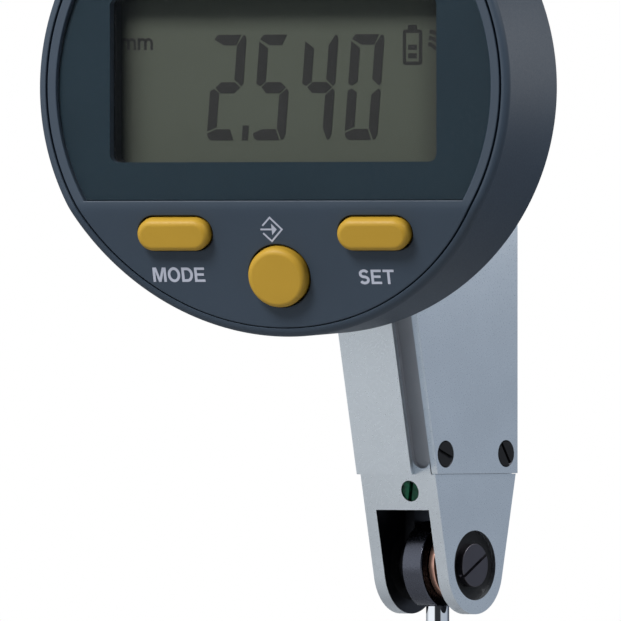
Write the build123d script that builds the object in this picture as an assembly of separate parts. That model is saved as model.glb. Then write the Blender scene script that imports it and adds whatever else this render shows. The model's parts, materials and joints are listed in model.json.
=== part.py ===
from build123d import *
from math import acos, atan2, cos, hypot, pi, radians, sin, tan
import os

# A digital test indicator, in millimetres. +Z is up and the front of the body looks along -Y.
# The origin lies on the outer face of the front dovetail, on its centre line.

# Metal body, front and back
LEAN = 12.5                # degrees by which the front leans back, going down
DOVETAIL_WIDTH = 6.0
DOVETAIL_HEIGHT = 2.0
DOVETAIL_FLANK = 30.0      # degrees from the normal of the dovetail's face
REAR_DOVETAIL_HEIGHT = 1.8
REAR_DOVETAIL_ENDS = 3.6   # bare length at each end of the rear dovetail
TOP_DOVETAIL_LENGTH = 12.0
BODY_BACK_Y = 17.1
BODY_TOP_Z = 20.0
BODY_WALL = 1.6
CORE_WIDTH = 7.3
COVER_THICKNESS = 0.7
GROOVE_DEPTH = 0.4
GROOVE_RUNOUT = 0.95       # radius of the cutter that leaves the groove's end
GROOVE_END_GAP = 0.5
CAVITY_LOW_Z = -9.3
CAVITY_HIGH_Z = 6.0

# Fork and its pivot
FORK_TOP_Z = -13.1
FORK_WIDTH = 8.2
FORK_SLOT_WIDTH = 5.8
FORK_SLOT_TOP_Z = -16.26
EAR_RADIUS = 4.1
PIVOT_Z = -21.19

# Bearings and the set screw of the fork
BEARING_RADIUS = 3.1
BEARING_RECESS = 0.4
BEARING_THICKNESS = 0.75
PIVOT_SCREW_RADIUS = 1.93
PIVOT_SCREW_PROUD = 0.45   # past the bearing ring, and just past the ear
SET_SCREW_RADIUS = 0.95
SET_SCREW_LENGTH = 3.0
SET_SCREW_X = 1.1
SET_SCREW_Z = -14.58
SET_SCREW_RECESS = 0.12

# Arbor, lever and friction clutch
ARBOR_RADIUS = 0.8
JOURNAL_RADIUS = 0.5
RUNNING_GAP = 0.03
CLUTCH_GAP = 0.05
LEVER_THICKNESS = 1.0
LEVER_HUB_RADIUS = 2.3
LEVER_FOOT_WIDTH = 3.0
LEVER_HEAD_WIDTH = 2.4
CLUTCH_PLATE_THICKNESS = 0.35
CLUTCH_RADIUS = 3.0
FRICTION_WASHER_THICKNESS = 0.65
SPRING_WASHER_THICKNESS = 0.3
SPRING_WASHER_RADIUS = 2.2
CLUTCH_NUT_THICKNESS = 0.6
CLUTCH_NUT_RADIUS = 1.7
PASSAGE_HALF_LENGTH = 2.6
PASSAGE_SIDE_GAP = 0.2

# Stylus
DRUM_RADIUS = 3.95
DRUM_WIDTH = 2.2
DRUM_FLAT = 3.38           # from the pivot axis to the flat under the drum
DRUM_CHAMFER = 0.2
STYLUS_LENGTH = 12.5       # from the pivot axis to the ball's centre
STEM_RADIUS = 1.03
STEM_STRAIGHT = 3.6
STEM_NECK_RADIUS = 0.45
STEM_NECK_LENGTH = 1.6
STEM_STUB_RADIUS = 0.5
STEM_STUB_LENGTH = 1.5
BALL_RADIUS = 1.0

# Gear sector, pinion and encoder
GEAR_MODULE = 0.25
SECTOR_TEETH = 144
SECTOR_TEETH_EACH_SIDE = 3
SECTOR_RIM = 1.6
PINION_TEETH = 12
TOOTH_BACKLASH = 0.04
MESH_CLEARANCE = 0.03
PINION_WIDTH = 1.2
PINION_ARBOR_RADIUS = 0.4
PINION_PIVOT_RADIUS = 0.17
ENCODER_RADIUS = 4.2
ENCODER_ROTOR_THICKNESS = 0.6
ENCODER_AIR_GAP = 0.25
STATOR_THICKNESS = 0.9
STATOR_LOW_Z = -7.0
STATOR_HIGH_Z = 5.2
BRIDGE_THICKNESS = 0.65
BRIDGE_HALF_HEIGHT = 2.8
RIGHT_BRIDGE_X = 2.4
JEWEL_RADIUS = 0.8
HAIRSPRING_TURNS = 3
HAIRSPRING_PITCH = 0.6        # growth of the radius in one turn
HAIRSPRING_START = 0.9
HAIRSPRING_WIRE = 0.14
HAIRSPRING_HEIGHT = 0.3
STUD_RADIUS = 0.3

# Cover screws
COVER_SCREW_RADIUS = 1.1
COVER_SCREW_SHANK = 0.55
COVER_SCREW_LENGTH = 2.3
COVER_SCREW_INSET = 1.8    # from the back and top edges of the cover
COVER_SCREW_LOW_GAP = 1.8  # above the cover's lower edge
COVER_SCREW_FRONT_GAP = 1.65

# Swivel between body and head
SWIVEL_Y = -3.1
SWIVEL_Z = 13.0
HEAD_TURN = 16.1           # degrees, turned to its right as photographed
KNUCKLE_RADIUS = 3.1
KNUCKLE_HEIGHT = 6.4
KNUCKLE_WEB_WIDTH = 4.8
LUG_RADIUS = 3.2
LUG_THICKNESS = 1.8
LUG_GAP = 0.4              # between knuckle and lug, filled by a washer
WASHER_THICKNESS = 0.3
SWIVEL_TUBE_RADIUS = 1.5
SWIVEL_TUBE_BORE = 0.8
CABLE_RADIUS = 0.45
CABLE_HOLE_GAP = 0.15
CABLE_BEND = 1.2
CABLE_Y = 9.0
CABLE_END_Z = 12.4

# Display head, in its own frame: x to the right, y backwards from the face, z up from its centre
HEAD_CENTRE_Z = 21.0
SWIVEL_STANDOFF = 3.9      # from the housing's back to the swivel axis
HEAD_RADIUS = 22.0
HEAD_TAPER = 0.36          # by which the radius shrinks towards the back
HEAD_WALL = 1.6
RIM_ROUND = 0.6
BACK_CHAMFER = 0.8
CREASE_Z = -10.6
PANEL_TILT = 16.8          # degrees by which the button panel leans back, going down
FACE_RIM = 0.75            # width of the housing's rim round the face plate
FACE_GAP = 0.15
FACE_THICKNESS = 1.6
SEAL_THICKNESS = 0.2
SEAL_WIDTH = 0.7
POST_RADIUS = 1.6
POST_WALL_GAP = 0.6
POST_ANGLES = (48.0, 132.0, 216.7, 323.3)

# Window and display
WINDOW_MARGIN = 0.9        # from the window's edge to the face plate's
WINDOW_GAP = 0.08
WINDOW_LOW_Z = -9.9
WINDOW_THICKNESS = 0.6
MASK_THICKNESS = 0.15
VIEW_SIDE_MARGIN = 4.95    # from the window's radius to the side of its clear view
VIEW_HEIGHT = 14.4
VIEW_CENTRE_Z = 0.6
VIEW_CORNER = 0.7
CELL_MARGIN = 1.3
HOLDER_LIP = 1.4           # between the face plate's back and the cell
CELL_THICKNESS = 1.5
HOLDER_WALL = 0.9
HOLDER_GAP = 0.08
DIFFUSER_THICKNESS = 0.6
DIFFUSER_AIR = 0.5
DIFFUSER_INSET = 1.0
STRIP_THICKNESS = 1.2
STRIP_INSET = 1.9

# Boards and power
BOARD_THICKNESS = 1.0
BOARD_EDGE_GAP = 0.3
BOARD_LOW_Z = -9.0
POST_NOTCH_GAP = 0.15
PROCESSOR_SIZE = 7.0
RADIO_SIZE = (5.0, 6.5)
CHIP_HEIGHT = 0.9
CHIP_Z = -5.2
CHIP_X = 10.5
CELL_RADIUS = 10.0
BATTERY_HEIGHT = 3.2
BATTERY_WELL_GAP = 0.2
WELL_LEDGE = 0.3           # from the cavity's floor to the cell's front
CONTACT_SPACE = 1.7        # between the board's back and the cell
CONTACT_THICKNESS = 0.2
CONTACT_WIDTH = 3.0
CONTACT_FOOT = 6.0
CONTACT_TONGUE = 5.0
CLIP_WIDTH = 2.4
CLIP_FOOT = 1.5
CAP_STEP = 0.6             # by which the cap is wider than the cell
CAP_WEB = 1.9              # between the cap and the knuckle's flange
CAP_GAP = 0.1
CAP_THICKNESS = 1.75
CAP_SINK = 0.05
CAP_BOSS_HEIGHT = 0.75
CAP_BOSS_GAP = 0.05
CAP_SEAL_SPACE = 0.5
CAP_SEAL_GAP = 0.03
CAP_SEAL_WIDTH = 0.4
COIN_SLOT = (9.0, 1.6, 0.8)

# Buttons, on the leaning panel: v runs up the panel from the crease
BUTTON_X = 9.33
BUTTON_ROW_V = -2.32
DATA_BUTTON_V = -6.23
OBLONG_LENGTH = 6.75
OBLONG_HEIGHT = 2.95
ROUND_RADIUS = 2.75
BUTTON_PROUD = 1.0
BUTTON_ROUND = 0.55
BUTTON_GAP = 0.12
BUTTON_FLANGE = 0.3
BUTTON_FLANGE_THICKNESS = 0.5
BUTTON_REST_GAP = 0.1
BUTTON_TRAVEL = 0.4
DOME_GAP = 0.1
DOME_HEIGHT = 0.4
DOME_RADIUS = 1.2
MAT_THICKNESS = 0.4
KEY_BOARD_THICKNESS = 0.7
MAT_HALF_WIDTH = 12.4
MAT_HIGH_V = -0.6
MAT_LOW_V = -9.2

# Fasteners of the head
HOUSING_SCREW_RADIUS = 1.1
HOUSING_SCREW_SHANK = 0.6
HOUSING_SCREW_LENGTH = 11.0
FLANGE_WIDTH = 12.4
FLANGE_HEIGHT = 8.4
FLANGE_THICKNESS = 1.0
FLANGE_CORNER = 1.0
FLANGE_SCREW_X = 4.5
FLANGE_SCREW_LENGTH = 3.4
FLANGE_SCREW_RADIUS = 1.0
FLANGE_SCREW_SHANK = 0.5

# Values worked out from the ones above
FRONT_OFFSET = DOVETAIL_HEIGHT / cos(radians(LEAN))
BEND_Z = SWIVEL_Z - KNUCKLE_HEIGHT / 2 - LUG_GAP - LUG_THICKNESS - 0.6
COVER_OUTER_X = CORE_WIDTH / 2 + COVER_THICKNESS
FACE_RADIUS = HEAD_RADIUS - FACE_RIM - FACE_GAP
WINDOW_RADIUS = FACE_RADIUS - WINDOW_MARGIN
VIEW_WIDTH = 2 * (WINDOW_RADIUS - VIEW_SIDE_MARGIN)
POST_CIRCLE = HEAD_RADIUS - HEAD_WALL - POST_WALL_GAP - POST_RADIUS
BOARD_RADIUS = HEAD_RADIUS - HEAD_WALL - BOARD_EDGE_GAP
CELL_FRONT = FACE_THICKNESS + HOLDER_LIP
BOARD_FRONT = CELL_FRONT + CELL_THICKNESS + DIFFUSER_THICKNESS + DIFFUSER_AIR
BATTERY_FRONT = BOARD_FRONT + BOARD_THICKNESS + CONTACT_SPACE
CAVITY_DEPTH = BATTERY_FRONT - WELL_LEDGE
CAP_FRONT = BATTERY_FRONT + BATTERY_HEIGHT + CAP_BOSS_GAP + CAP_BOSS_HEIGHT
CAP_SEAT = CAP_FRONT - CAP_SEAL_SPACE
CAP_RADIUS = CELL_RADIUS + CAP_STEP
HEAD_DEPTH = CAP_FRONT + CAP_THICKNESS + CAP_SINK
HEAD_REACH = HEAD_DEPTH + SWIVEL_STANDOFF
GEAR_REACH = GEAR_MODULE * (SECTOR_TEETH + PINION_TEETH) / 2 + MESH_CLEARANCE
PINION_Z = PIVOT_Z + GEAR_REACH
DRUM_HALF = DRUM_WIDTH / 2
LEVER_X = -DRUM_HALF - CLUTCH_GAP - CLUTCH_PLATE_THICKNESS - LEVER_THICKNESS
BEARING_OUTER_X = FORK_WIDTH / 2 - BEARING_RECESS
BEARING_INNER_X = BEARING_OUTER_X - BEARING_THICKNESS
BUTTON_BACK = FACE_THICKNESS * cos(radians(PANEL_TILT)) + BUTTON_REST_GAP + BUTTON_FLANGE_THICKNESS
MAT_FRONT = BUTTON_BACK + BUTTON_TRAVEL + DOME_GAP + DOME_HEIGHT
KNUCKLE_Z = SWIVEL_Z - HEAD_CENTRE_Z
BATTERY_CENTRE_Z = KNUCKLE_Z + FLANGE_HEIGHT / 2 + CAP_WEB + CAP_RADIUS
CABLE_TOP_Z = SWIVEL_Z + KNUCKLE_HEIGHT / 2 + LUG_GAP + LUG_THICKNESS / 2


def front_y(z):
    """Y of the body's leaning front plane, behind the dovetail."""
    return FRONT_OFFSET - tan(radians(LEAN)) * z


PIVOT_Y = front_y(PIVOT_Z) + EAR_RADIUS / cos(radians(LEAN))

# Planes: the dovetail's face, and the leaning button panel in the head's own frame
FRONT_NORMAL = Vector(0, -cos(radians(LEAN)), -sin(radians(LEAN)))
FRONT_UP = Vector(0, -sin(radians(LEAN)), cos(radians(LEAN)))
PANEL_NORMAL = Vector(0, -cos(radians(PANEL_TILT)), -sin(radians(PANEL_TILT)))
PANEL = Plane(origin=(0, 0, CREASE_Z), x_dir=(1, 0, 0), z_dir=PANEL_NORMAL)
HEAD_PLACE = Pos(0, SWIVEL_Y, HEAD_CENTRE_Z) * Rot(0, 0, HEAD_TURN) * Pos(0, -HEAD_REACH, 0)


def block(x0, x1, y0, y1, z0, z1):
    """Box between two corners."""
    return Pos((x0 + x1) / 2, (y0 + y1) / 2, (z0 + z1) / 2) * Box(x1 - x0, y1 - y0, z1 - z0)


def x_rod(radius, x0, x1, y, z):
    """Round bar along X."""
    return Pos((x0 + x1) / 2, y, z) * Rot(0, 90, 0) * Cylinder(radius, x1 - x0)


def y_rod(radius, y0, y1, x, z):
    """Round bar along Y."""
    return Pos(x, (y0 + y1) / 2, z) * Rot(-90, 0, 0) * Cylinder(radius, y1 - y0)


def z_rod(radius, z0, z1, x, y):
    """Round bar along Z."""
    return Pos(x, y, (z0 + z1) / 2) * Cylinder(radius, z1 - z0)


def side_plate(points, x0, x1):
    """Plate with an outline in the YZ plane."""
    outline = Plane.YZ.offset(x0) * Polygon(*points, align=None)
    return extrude(outline, x1 - x0, dir=(1, 0, 0))


def rounded_bar(width, height, corner, y0, y1, z):
    """Bar along Y with a rounded rectangular section, centred on x = 0."""
    plane = Plane(origin=(0, y0, z), x_dir=(1, 0, 0), z_dir=(0, 1, 0))
    return extrude(plane * RectangleRounded(width, height, corner), y1 - y0, dir=(0, 1, 0))


def slotted_screw(head_radius, head_height, shank_radius, length, slot_width, turn=0):
    """Countersunk slotted screw along -Z, with its top at z = 0."""
    cone = Pos(0, 0, -head_height / 2) * Cone(shank_radius, head_radius, head_height)
    shank = Pos(0, 0, -length / 2) * Cylinder(shank_radius, length)
    slot = Rot(0, 0, turn) * Box(3 * head_radius, slot_width, head_height)
    return cone + shank - slot


def screw_hole(head_radius, head_height, shank_radius, length):
    """The space that a countersunk screw takes."""
    cone = Pos(0, 0, -head_height / 2) * Cone(shank_radius, head_radius, head_height)
    return cone + Pos(0, 0, -length / 2) * Cylinder(shank_radius, length)


def dovetail_section(height):
    """Section of a dovetail rail, with its wide face on the x axis and its root towards +y."""
    half = DOVETAIL_WIDTH / 2
    root = half - height * tan(radians(DOVETAIL_FLANK))
    return Polygon((-half, 0), (half, 0), (root, height), (-root, height), align=None)


# Body frame

def core_outline():
    """Side outline of the body between its covers."""
    return [
        (front_y(FORK_TOP_Z), FORK_TOP_Z),
        (front_y(BEND_Z), BEND_Z),
        (front_y(BEND_Z), BODY_TOP_Z),
        (BODY_BACK_Y, BODY_TOP_Z),
        (BODY_BACK_Y, FORK_TOP_Z),
    ]


def cavity_outline():
    """Side outline of the cavity for the movement."""
    wall = BODY_WALL / cos(radians(LEAN))
    return [
        (front_y(CAVITY_LOW_Z) + wall, CAVITY_LOW_Z),
        (front_y(CAVITY_HIGH_Z) + wall, CAVITY_HIGH_Z),
        (BODY_BACK_Y - BODY_WALL, CAVITY_HIGH_Z),
        (BODY_BACK_Y - BODY_WALL, CAVITY_LOW_Z),
    ]


def fork_blank():
    """Fork without its slot: two straight flanks that run into the round of the ears."""
    half = FORK_WIDTH / 2
    dy = BODY_BACK_Y - PIVOT_Y
    dz = FORK_TOP_Z - PIVOT_Z
    back_angle = atan2(dz, dy) - acos(EAR_RADIUS / hypot(dy, dz))
    front_touch = (
        PIVOT_Y - EAR_RADIUS * cos(radians(LEAN)),
        PIVOT_Z - EAR_RADIUS * sin(radians(LEAN)),
    )
    back_touch = (PIVOT_Y + EAR_RADIUS * cos(back_angle), PIVOT_Z + EAR_RADIUS * sin(back_angle))
    points = [
        (front_y(FORK_TOP_Z), FORK_TOP_Z),
        front_touch,
        (PIVOT_Y, PIVOT_Z),
        back_touch,
        (BODY_BACK_Y, FORK_TOP_Z),
    ]
    return side_plate(points, -half, half) + x_rod(EAR_RADIUS, -half, half, PIVOT_Y, PIVOT_Z)


def front_dovetail():
    """Dovetail rail on the leaning front, cut level at both ends."""
    reach = BODY_TOP_Z - FORK_TOP_Z
    plane = Plane(origin=-FRONT_UP * reach, x_dir=(1, 0, 0), z_dir=FRONT_UP)
    rail = extrude(plane * dovetail_section(DOVETAIL_HEIGHT), 2 * reach, dir=FRONT_UP)
    return rail & block(-FORK_WIDTH, FORK_WIDTH, -reach, reach, FORK_TOP_Z, BEND_Z - 1)


def rear_dovetail():
    """Dovetail rail down the back."""
    low = FORK_TOP_Z + REAR_DOVETAIL_ENDS
    high = BODY_TOP_Z - REAR_DOVETAIL_ENDS
    face_y = BODY_BACK_Y + REAR_DOVETAIL_HEIGHT
    plane = Plane(origin=(0, face_y, low), x_dir=(-1, 0, 0), z_dir=(0, 0, 1))
    return extrude(plane * dovetail_section(REAR_DOVETAIL_HEIGHT), high - low, dir=(0, 0, 1))


def top_dovetail():
    """Short dovetail rail across the top."""
    middle = (front_y(BEND_Z) + BODY_BACK_Y) / 2
    start = middle - TOP_DOVETAIL_LENGTH / 2
    face_z = BODY_TOP_Z + DOVETAIL_HEIGHT
    plane = Plane(origin=(0, start, face_z), x_dir=(1, 0, 0), z_dir=(0, 1, 0))
    return extrude(plane * dovetail_section(DOVETAIL_HEIGHT), TOP_DOVETAIL_LENGTH, dir=(0, 1, 0))


def groove(side):
    """Milled groove beside the front dovetail, with the round end that its cutter leaves."""
    inner = DOVETAIL_WIDTH / 2 - DOVETAIL_HEIGHT * tan(radians(DOVETAIL_FLANK))
    outer = CORE_WIDTH / 2
    middle = (inner + outer) / 2
    low = FORK_TOP_Z / cos(radians(LEAN)) + GROOVE_END_GAP + GROOVE_RUNOUT
    high = (BEND_Z - 1) / cos(radians(LEAN))
    floor = Plane(origin=(0, 0, 0), x_dir=(1, 0, 0), z_dir=FRONT_NORMAL)
    depth = DOVETAIL_HEIGHT + GROOVE_DEPTH
    width = outer - inner
    cut = Pos(side * middle, (low + high) / 2, -depth / 2 - 0.5) * Box(width, high - low, depth - 1)
    end = Pos(side * middle, low, -depth / 2 - 0.5) * Cylinder(GROOVE_RUNOUT, depth - 1)
    return floor * (cut + end)


def swivel_lug(z0):
    """Round-ended lug that carries the swivel tube."""
    plane = Plane.XY.offset(z0)
    root = front_y(BEND_Z) + 1.0
    length = root - SWIVEL_Y
    lug = plane * (
        Pos(0, SWIVEL_Y) * Circle(LUG_RADIUS)
        + Pos(0, SWIVEL_Y + length / 2) * Rectangle(2 * LUG_RADIUS, length)
    )
    return extrude(lug, LUG_THICKNESS, dir=(0, 0, 1))


def cover_screw_places():
    """(y, z) of the four screws of a side cover."""
    low = FORK_TOP_Z + COVER_SCREW_LOW_GAP
    high = BODY_TOP_Z - COVER_SCREW_INSET
    back = BODY_BACK_Y - COVER_SCREW_INSET
    return [
        (front_y(low) + COVER_SCREW_FRONT_GAP, low),
        (back, low),
        (front_y(BEND_Z) + COVER_SCREW_FRONT_GAP, high),
        (back, high),
    ]


def on_side(shape, side, y, z):
    """Turn a screw or hole made along -Z so that it enters a side cover."""
    return Pos(side * COVER_OUTER_X, y, z) * Rot(0, 90 * side, 0) * shape


def cable_channel():
    """Drilled channel from the movement's cavity to the swivel tube."""
    radius = CABLE_RADIUS + CABLE_HOLE_GAP
    half = CABLE_RADIUS + CABLE_HOLE_GAP
    upright = z_rod(radius, CAVITY_HIGH_Z - 1, CABLE_TOP_Z + radius, 0, CABLE_Y)
    level = y_rod(radius, SWIVEL_Y, CABLE_Y, 0, CABLE_TOP_Z)
    low = CABLE_BEND + half
    bend = block(-half, half, CABLE_Y - low, CABLE_Y, CABLE_TOP_Z - low, CABLE_TOP_Z)
    return upright + level + bend


def set_screw_plane(depth):
    """Plane on the fork's front, below the dovetail, at a depth under its surface."""
    origin = Vector(SET_SCREW_X, front_y(SET_SCREW_Z), SET_SCREW_Z) - FRONT_NORMAL * depth
    return Plane(origin=origin, x_dir=(1, 0, 0), z_dir=FRONT_NORMAL)


def body_frame():
    half = CORE_WIDTH / 2
    frame = side_plate(core_outline(), -half, half)
    frame += fork_blank() + front_dovetail() + rear_dovetail() + top_dovetail()
    lug_z = KNUCKLE_HEIGHT / 2 + LUG_GAP
    frame += swivel_lug(SWIVEL_Z + lug_z) + swivel_lug(SWIVEL_Z - lug_z - LUG_THICKNESS)
    frame -= groove(1) + groove(-1)
    frame -= side_plate(cavity_outline(), -half, half)
    slot_half = FORK_SLOT_WIDTH / 2
    reach = 2 * EAR_RADIUS
    frame -= block(
        -slot_half, slot_half,
        PIVOT_Y - reach, BODY_BACK_Y + 1,
        PIVOT_Z - reach, FORK_SLOT_TOP_Z,
    )
    frame -= block(
        LEVER_X - PASSAGE_SIDE_GAP, LEVER_X + LEVER_THICKNESS + PASSAGE_SIDE_GAP,
        PIVOT_Y - PASSAGE_HALF_LENGTH, PIVOT_Y + PASSAGE_HALF_LENGTH,
        FORK_SLOT_TOP_Z - 1, CAVITY_LOW_Z + 1,
    )
    frame -= x_rod(BEARING_RADIUS, -FORK_WIDTH, FORK_WIDTH, PIVOT_Y, PIVOT_Z)
    depth = SET_SCREW_LENGTH + SET_SCREW_RECESS
    frame -= set_screw_plane(depth / 2) * Cylinder(SET_SCREW_RADIUS, depth)
    hole = screw_hole(COVER_SCREW_RADIUS, COVER_SCREW_RADIUS / 2, COVER_SCREW_SHANK, COVER_SCREW_LENGTH)
    for side in (-1, 1):
        for y, z in cover_screw_places():
            frame -= on_side(hole, side, y, z)
    frame -= z_rod(SWIVEL_TUBE_RADIUS, BEND_Z, BODY_TOP_Z + 1, 0, SWIVEL_Y)
    return frame - cable_channel()


def side_cover(side):
    """Flat side cover with countersunk holes."""
    inner = CORE_WIDTH / 2
    x0, x1 = sorted((side * inner, side * COVER_OUTER_X))
    cover = side_plate(core_outline(), x0, x1)
    hole = screw_hole(COVER_SCREW_RADIUS, COVER_SCREW_RADIUS / 2, COVER_SCREW_SHANK, COVER_SCREW_LENGTH)
    for y, z in cover_screw_places():
        cover -= on_side(hole, side, y, z)
    return cover


def cover_screws():
    """The eight countersunk screws of both covers."""
    screws = []
    turns = (70, 35, -20, 50)
    for side in (-1, 1):
        for (y, z), turn in zip(cover_screw_places(), turns):
            screw = slotted_screw(
                COVER_SCREW_RADIUS, COVER_SCREW_RADIUS / 2, COVER_SCREW_SHANK, COVER_SCREW_LENGTH, 0.3, turn
            )
            screws.append(on_side(screw, side, y, z))
    return Compound(children=screws)


def fork_set_screw():
    """Headless slotted screw in the fork's front."""
    middle = SET_SCREW_RECESS + SET_SCREW_LENGTH / 2
    screw = set_screw_plane(middle) * Cylinder(SET_SCREW_RADIUS, SET_SCREW_LENGTH)
    slot = set_screw_plane(SET_SCREW_RECESS) * (Rot(0, 0, 75) * Box(3 * SET_SCREW_RADIUS, 0.4, 0.9))
    return screw - slot


def bearing_ring(side):
    """Black ring seated in a fork ear."""
    x0, x1 = sorted((side * BEARING_INNER_X, side * BEARING_OUTER_X))
    ring = x_rod(BEARING_RADIUS, x0, x1, PIVOT_Y, PIVOT_Z)
    return ring - x_rod(PIVOT_SCREW_RADIUS, x0 - 1, x1 + 1, PIVOT_Y, PIVOT_Z)


def pivot_screw(side):
    """Slotted screw that carries one end of the lever arbor."""
    outer = BEARING_OUTER_X + PIVOT_SCREW_PROUD
    x0, x1 = sorted((side * BEARING_INNER_X, side * outer))
    screw = x_rod(PIVOT_SCREW_RADIUS, x0, x1, PIVOT_Y, PIVOT_Z)
    seat_end = side * (BEARING_INNER_X + 0.5)
    s0, s1 = sorted((side * (BEARING_INNER_X - 1), seat_end))
    screw -= x_rod(JOURNAL_RADIUS + RUNNING_GAP, s0, s1, PIVOT_Y, PIVOT_Z)
    slot = Pos(side * outer, PIVOT_Y, PIVOT_Z) * Rot(30, 0, 0) * Box(0.4, 3 * PIVOT_SCREW_RADIUS, 0.28)
    return screw - slot


def swivel_tube():
    """Hollow pin of the swivel, open where the cable enters and leaves."""
    lug_end = KNUCKLE_HEIGHT / 2 + LUG_GAP + LUG_THICKNESS
    tube = z_rod(SWIVEL_TUBE_RADIUS, SWIVEL_Z - lug_end, SWIVEL_Z + lug_end, 0, SWIVEL_Y)
    bore = z_rod(SWIVEL_TUBE_BORE, SWIVEL_Z - lug_end + 1, SWIVEL_Z + lug_end + 1, 0, SWIVEL_Y)
    reach = 2 * SWIVEL_TUBE_RADIUS
    half = CABLE_RADIUS + CABLE_HOLE_GAP
    low = CABLE_TOP_Z - CABLE_BEND - half
    entry = block(-half, half, SWIVEL_Y, SWIVEL_Y + reach, low, CABLE_TOP_Z + half)
    window = block(-reach, reach, SWIVEL_Y - reach, SWIVEL_Y, SWIVEL_Z - half, SWIVEL_Z + half)
    return tube - bore - entry - window


def swivel_washers():
    """Two friction washers between the knuckle and the lugs."""
    washers = []
    seat = KNUCKLE_HEIGHT / 2 + LUG_GAP
    for z in (SWIVEL_Z + seat - WASHER_THICKNESS, SWIVEL_Z - seat):
        ring = z_rod(LUG_RADIUS - 0.3, z, z + WASHER_THICKNESS, 0, SWIVEL_Y)
        washers.append(ring - z_rod(SWIVEL_TUBE_RADIUS, z - 1, z + 1, 0, SWIVEL_Y))
    return Compound(children=washers)


# Movement

def ring_on_arbor(radius, x0, x1, bore=ARBOR_RADIUS):
    """Washer on the lever arbor."""
    return x_rod(radius, x0, x1, PIVOT_Y, PIVOT_Z) - x_rod(bore, x0 - 1, x1 + 1, PIVOT_Y, PIVOT_Z)


def lever_arbor():
    """Arbor with a thinner journal at each end."""
    shoulder = FORK_SLOT_WIDTH / 2
    journal = BEARING_INNER_X + 0.4
    arbor = x_rod(ARBOR_RADIUS, -shoulder, shoulder, PIVOT_Y, PIVOT_Z)
    return arbor + x_rod(JOURNAL_RADIUS, -journal, journal, PIVOT_Y, PIVOT_Z)


def tooth(pitch_radius, angle):
    """Outline of one tooth whose middle lies at an angle from the y axis of the sketch."""
    half = pi * GEAR_MODULE / 4 - TOOTH_BACKLASH / 2
    tip = pitch_radius + GEAR_MODULE * 0.95
    root = pitch_radius - GEAR_MODULE * 1.35
    points = [
        (-1.45 * half, root),
        (-half, pitch_radius),
        (-0.5 * half, tip),
        (0.5 * half, tip),
        (half, pitch_radius),
        (1.45 * half, root),
    ]
    return Rot(0, 0, angle) * Polygon(*points, align=None)


def measuring_lever():
    """Lever from the arbor up to a short gear sector."""
    pitch = GEAR_MODULE * SECTOR_TEETH / 2
    root = pitch - GEAR_MODULE * 1.25
    step = 360 / SECTOR_TEETH
    span = (SECTOR_TEETH_EACH_SIDE + 0.5) * step
    reach = root + 1
    wedge_half = reach * tan(radians(span))
    wedge = Polygon((0, 0), (wedge_half, reach), (-wedge_half, reach), align=None)
    rim = (Circle(root) - Circle(root - SECTOR_RIM)) & wedge
    arm = Polygon(
        (-LEVER_FOOT_WIDTH / 2, 0),
        (LEVER_FOOT_WIDTH / 2, 0),
        (LEVER_HEAD_WIDTH / 2, root - SECTOR_RIM / 2),
        (-LEVER_HEAD_WIDTH / 2, root - SECTOR_RIM / 2),
        align=None,
    )
    outline = Circle(LEVER_HUB_RADIUS) + arm + rim - Circle(ARBOR_RADIUS)
    plane = Plane(origin=(LEVER_X, PIVOT_Y, PIVOT_Z), x_dir=(0, 1, 0), z_dir=(1, 0, 0))
    lever = extrude(plane * outline, LEVER_THICKNESS, dir=(1, 0, 0))
    for index in range(-SECTOR_TEETH_EACH_SIDE, SECTOR_TEETH_EACH_SIDE + 1):
        lever += extrude(plane * tooth(pitch, index * step), LEVER_THICKNESS, dir=(1, 0, 0))
    return lever


def clutch_nut():
    """Six-sided nut that loads the clutch."""
    start = DRUM_HALF + CLUTCH_GAP + FRICTION_WASHER_THICKNESS + SPRING_WASHER_THICKNESS
    plane = Plane(origin=(start, PIVOT_Y, PIVOT_Z), x_dir=(0, 1, 0), z_dir=(1, 0, 0))
    outline = RegularPolygon(CLUTCH_NUT_RADIUS, 6) - Circle(ARBOR_RADIUS)
    return extrude(plane * outline, CLUTCH_NUT_THICKNESS, dir=(1, 0, 0))


def encoder_pinion():
    """Pinion cut on its arbor, with a fine pivot at each end."""
    middle = LEVER_X + LEVER_THICKNESS / 2
    pitch = GEAR_MODULE * PINION_TEETH / 2
    outline = Circle(pitch - GEAR_MODULE * 1.25)
    for index in range(PINION_TEETH):
        outline += tooth(pitch, (index + 0.5) * 360 / PINION_TEETH)
    start = middle - PINION_WIDTH / 2
    plane = Plane(origin=(start, PIVOT_Y, PINION_Z), x_dir=(0, 1, 0), z_dir=(1, 0, 0))
    gear = extrude(plane * outline, PINION_WIDTH, dir=(1, 0, 0))
    low = -CORE_WIDTH / 2 + BRIDGE_THICKNESS + 0.1
    high = RIGHT_BRIDGE_X - 0.1
    arbor = x_rod(PINION_ARBOR_RADIUS, low, high, PIVOT_Y, PINION_Z)
    pivots = x_rod(PINION_PIVOT_RADIUS, low - 0.5, high + 0.5, PIVOT_Y, PINION_Z)
    return gear + arbor + pivots


def encoder_rotor():
    """Patterned disc on the pinion arbor."""
    start = STATOR_THICKNESS / 2 + ENCODER_AIR_GAP
    disc = x_rod(ENCODER_RADIUS, start, start + ENCODER_ROTOR_THICKNESS, PIVOT_Y, PINION_Z)
    return disc - x_rod(PINION_ARBOR_RADIUS, start - 1, start + 2, PIVOT_Y, PINION_Z)


def cavity_slice(x0, x1, z0, z1):
    """Plate that fills the movement's cavity from wall to wall, between two heights."""
    reach = BODY_BACK_Y + BODY_TOP_Z
    return side_plate(cavity_outline(), x0, x1) & block(x0, x1, -reach, reach, z0, z1)


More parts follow.
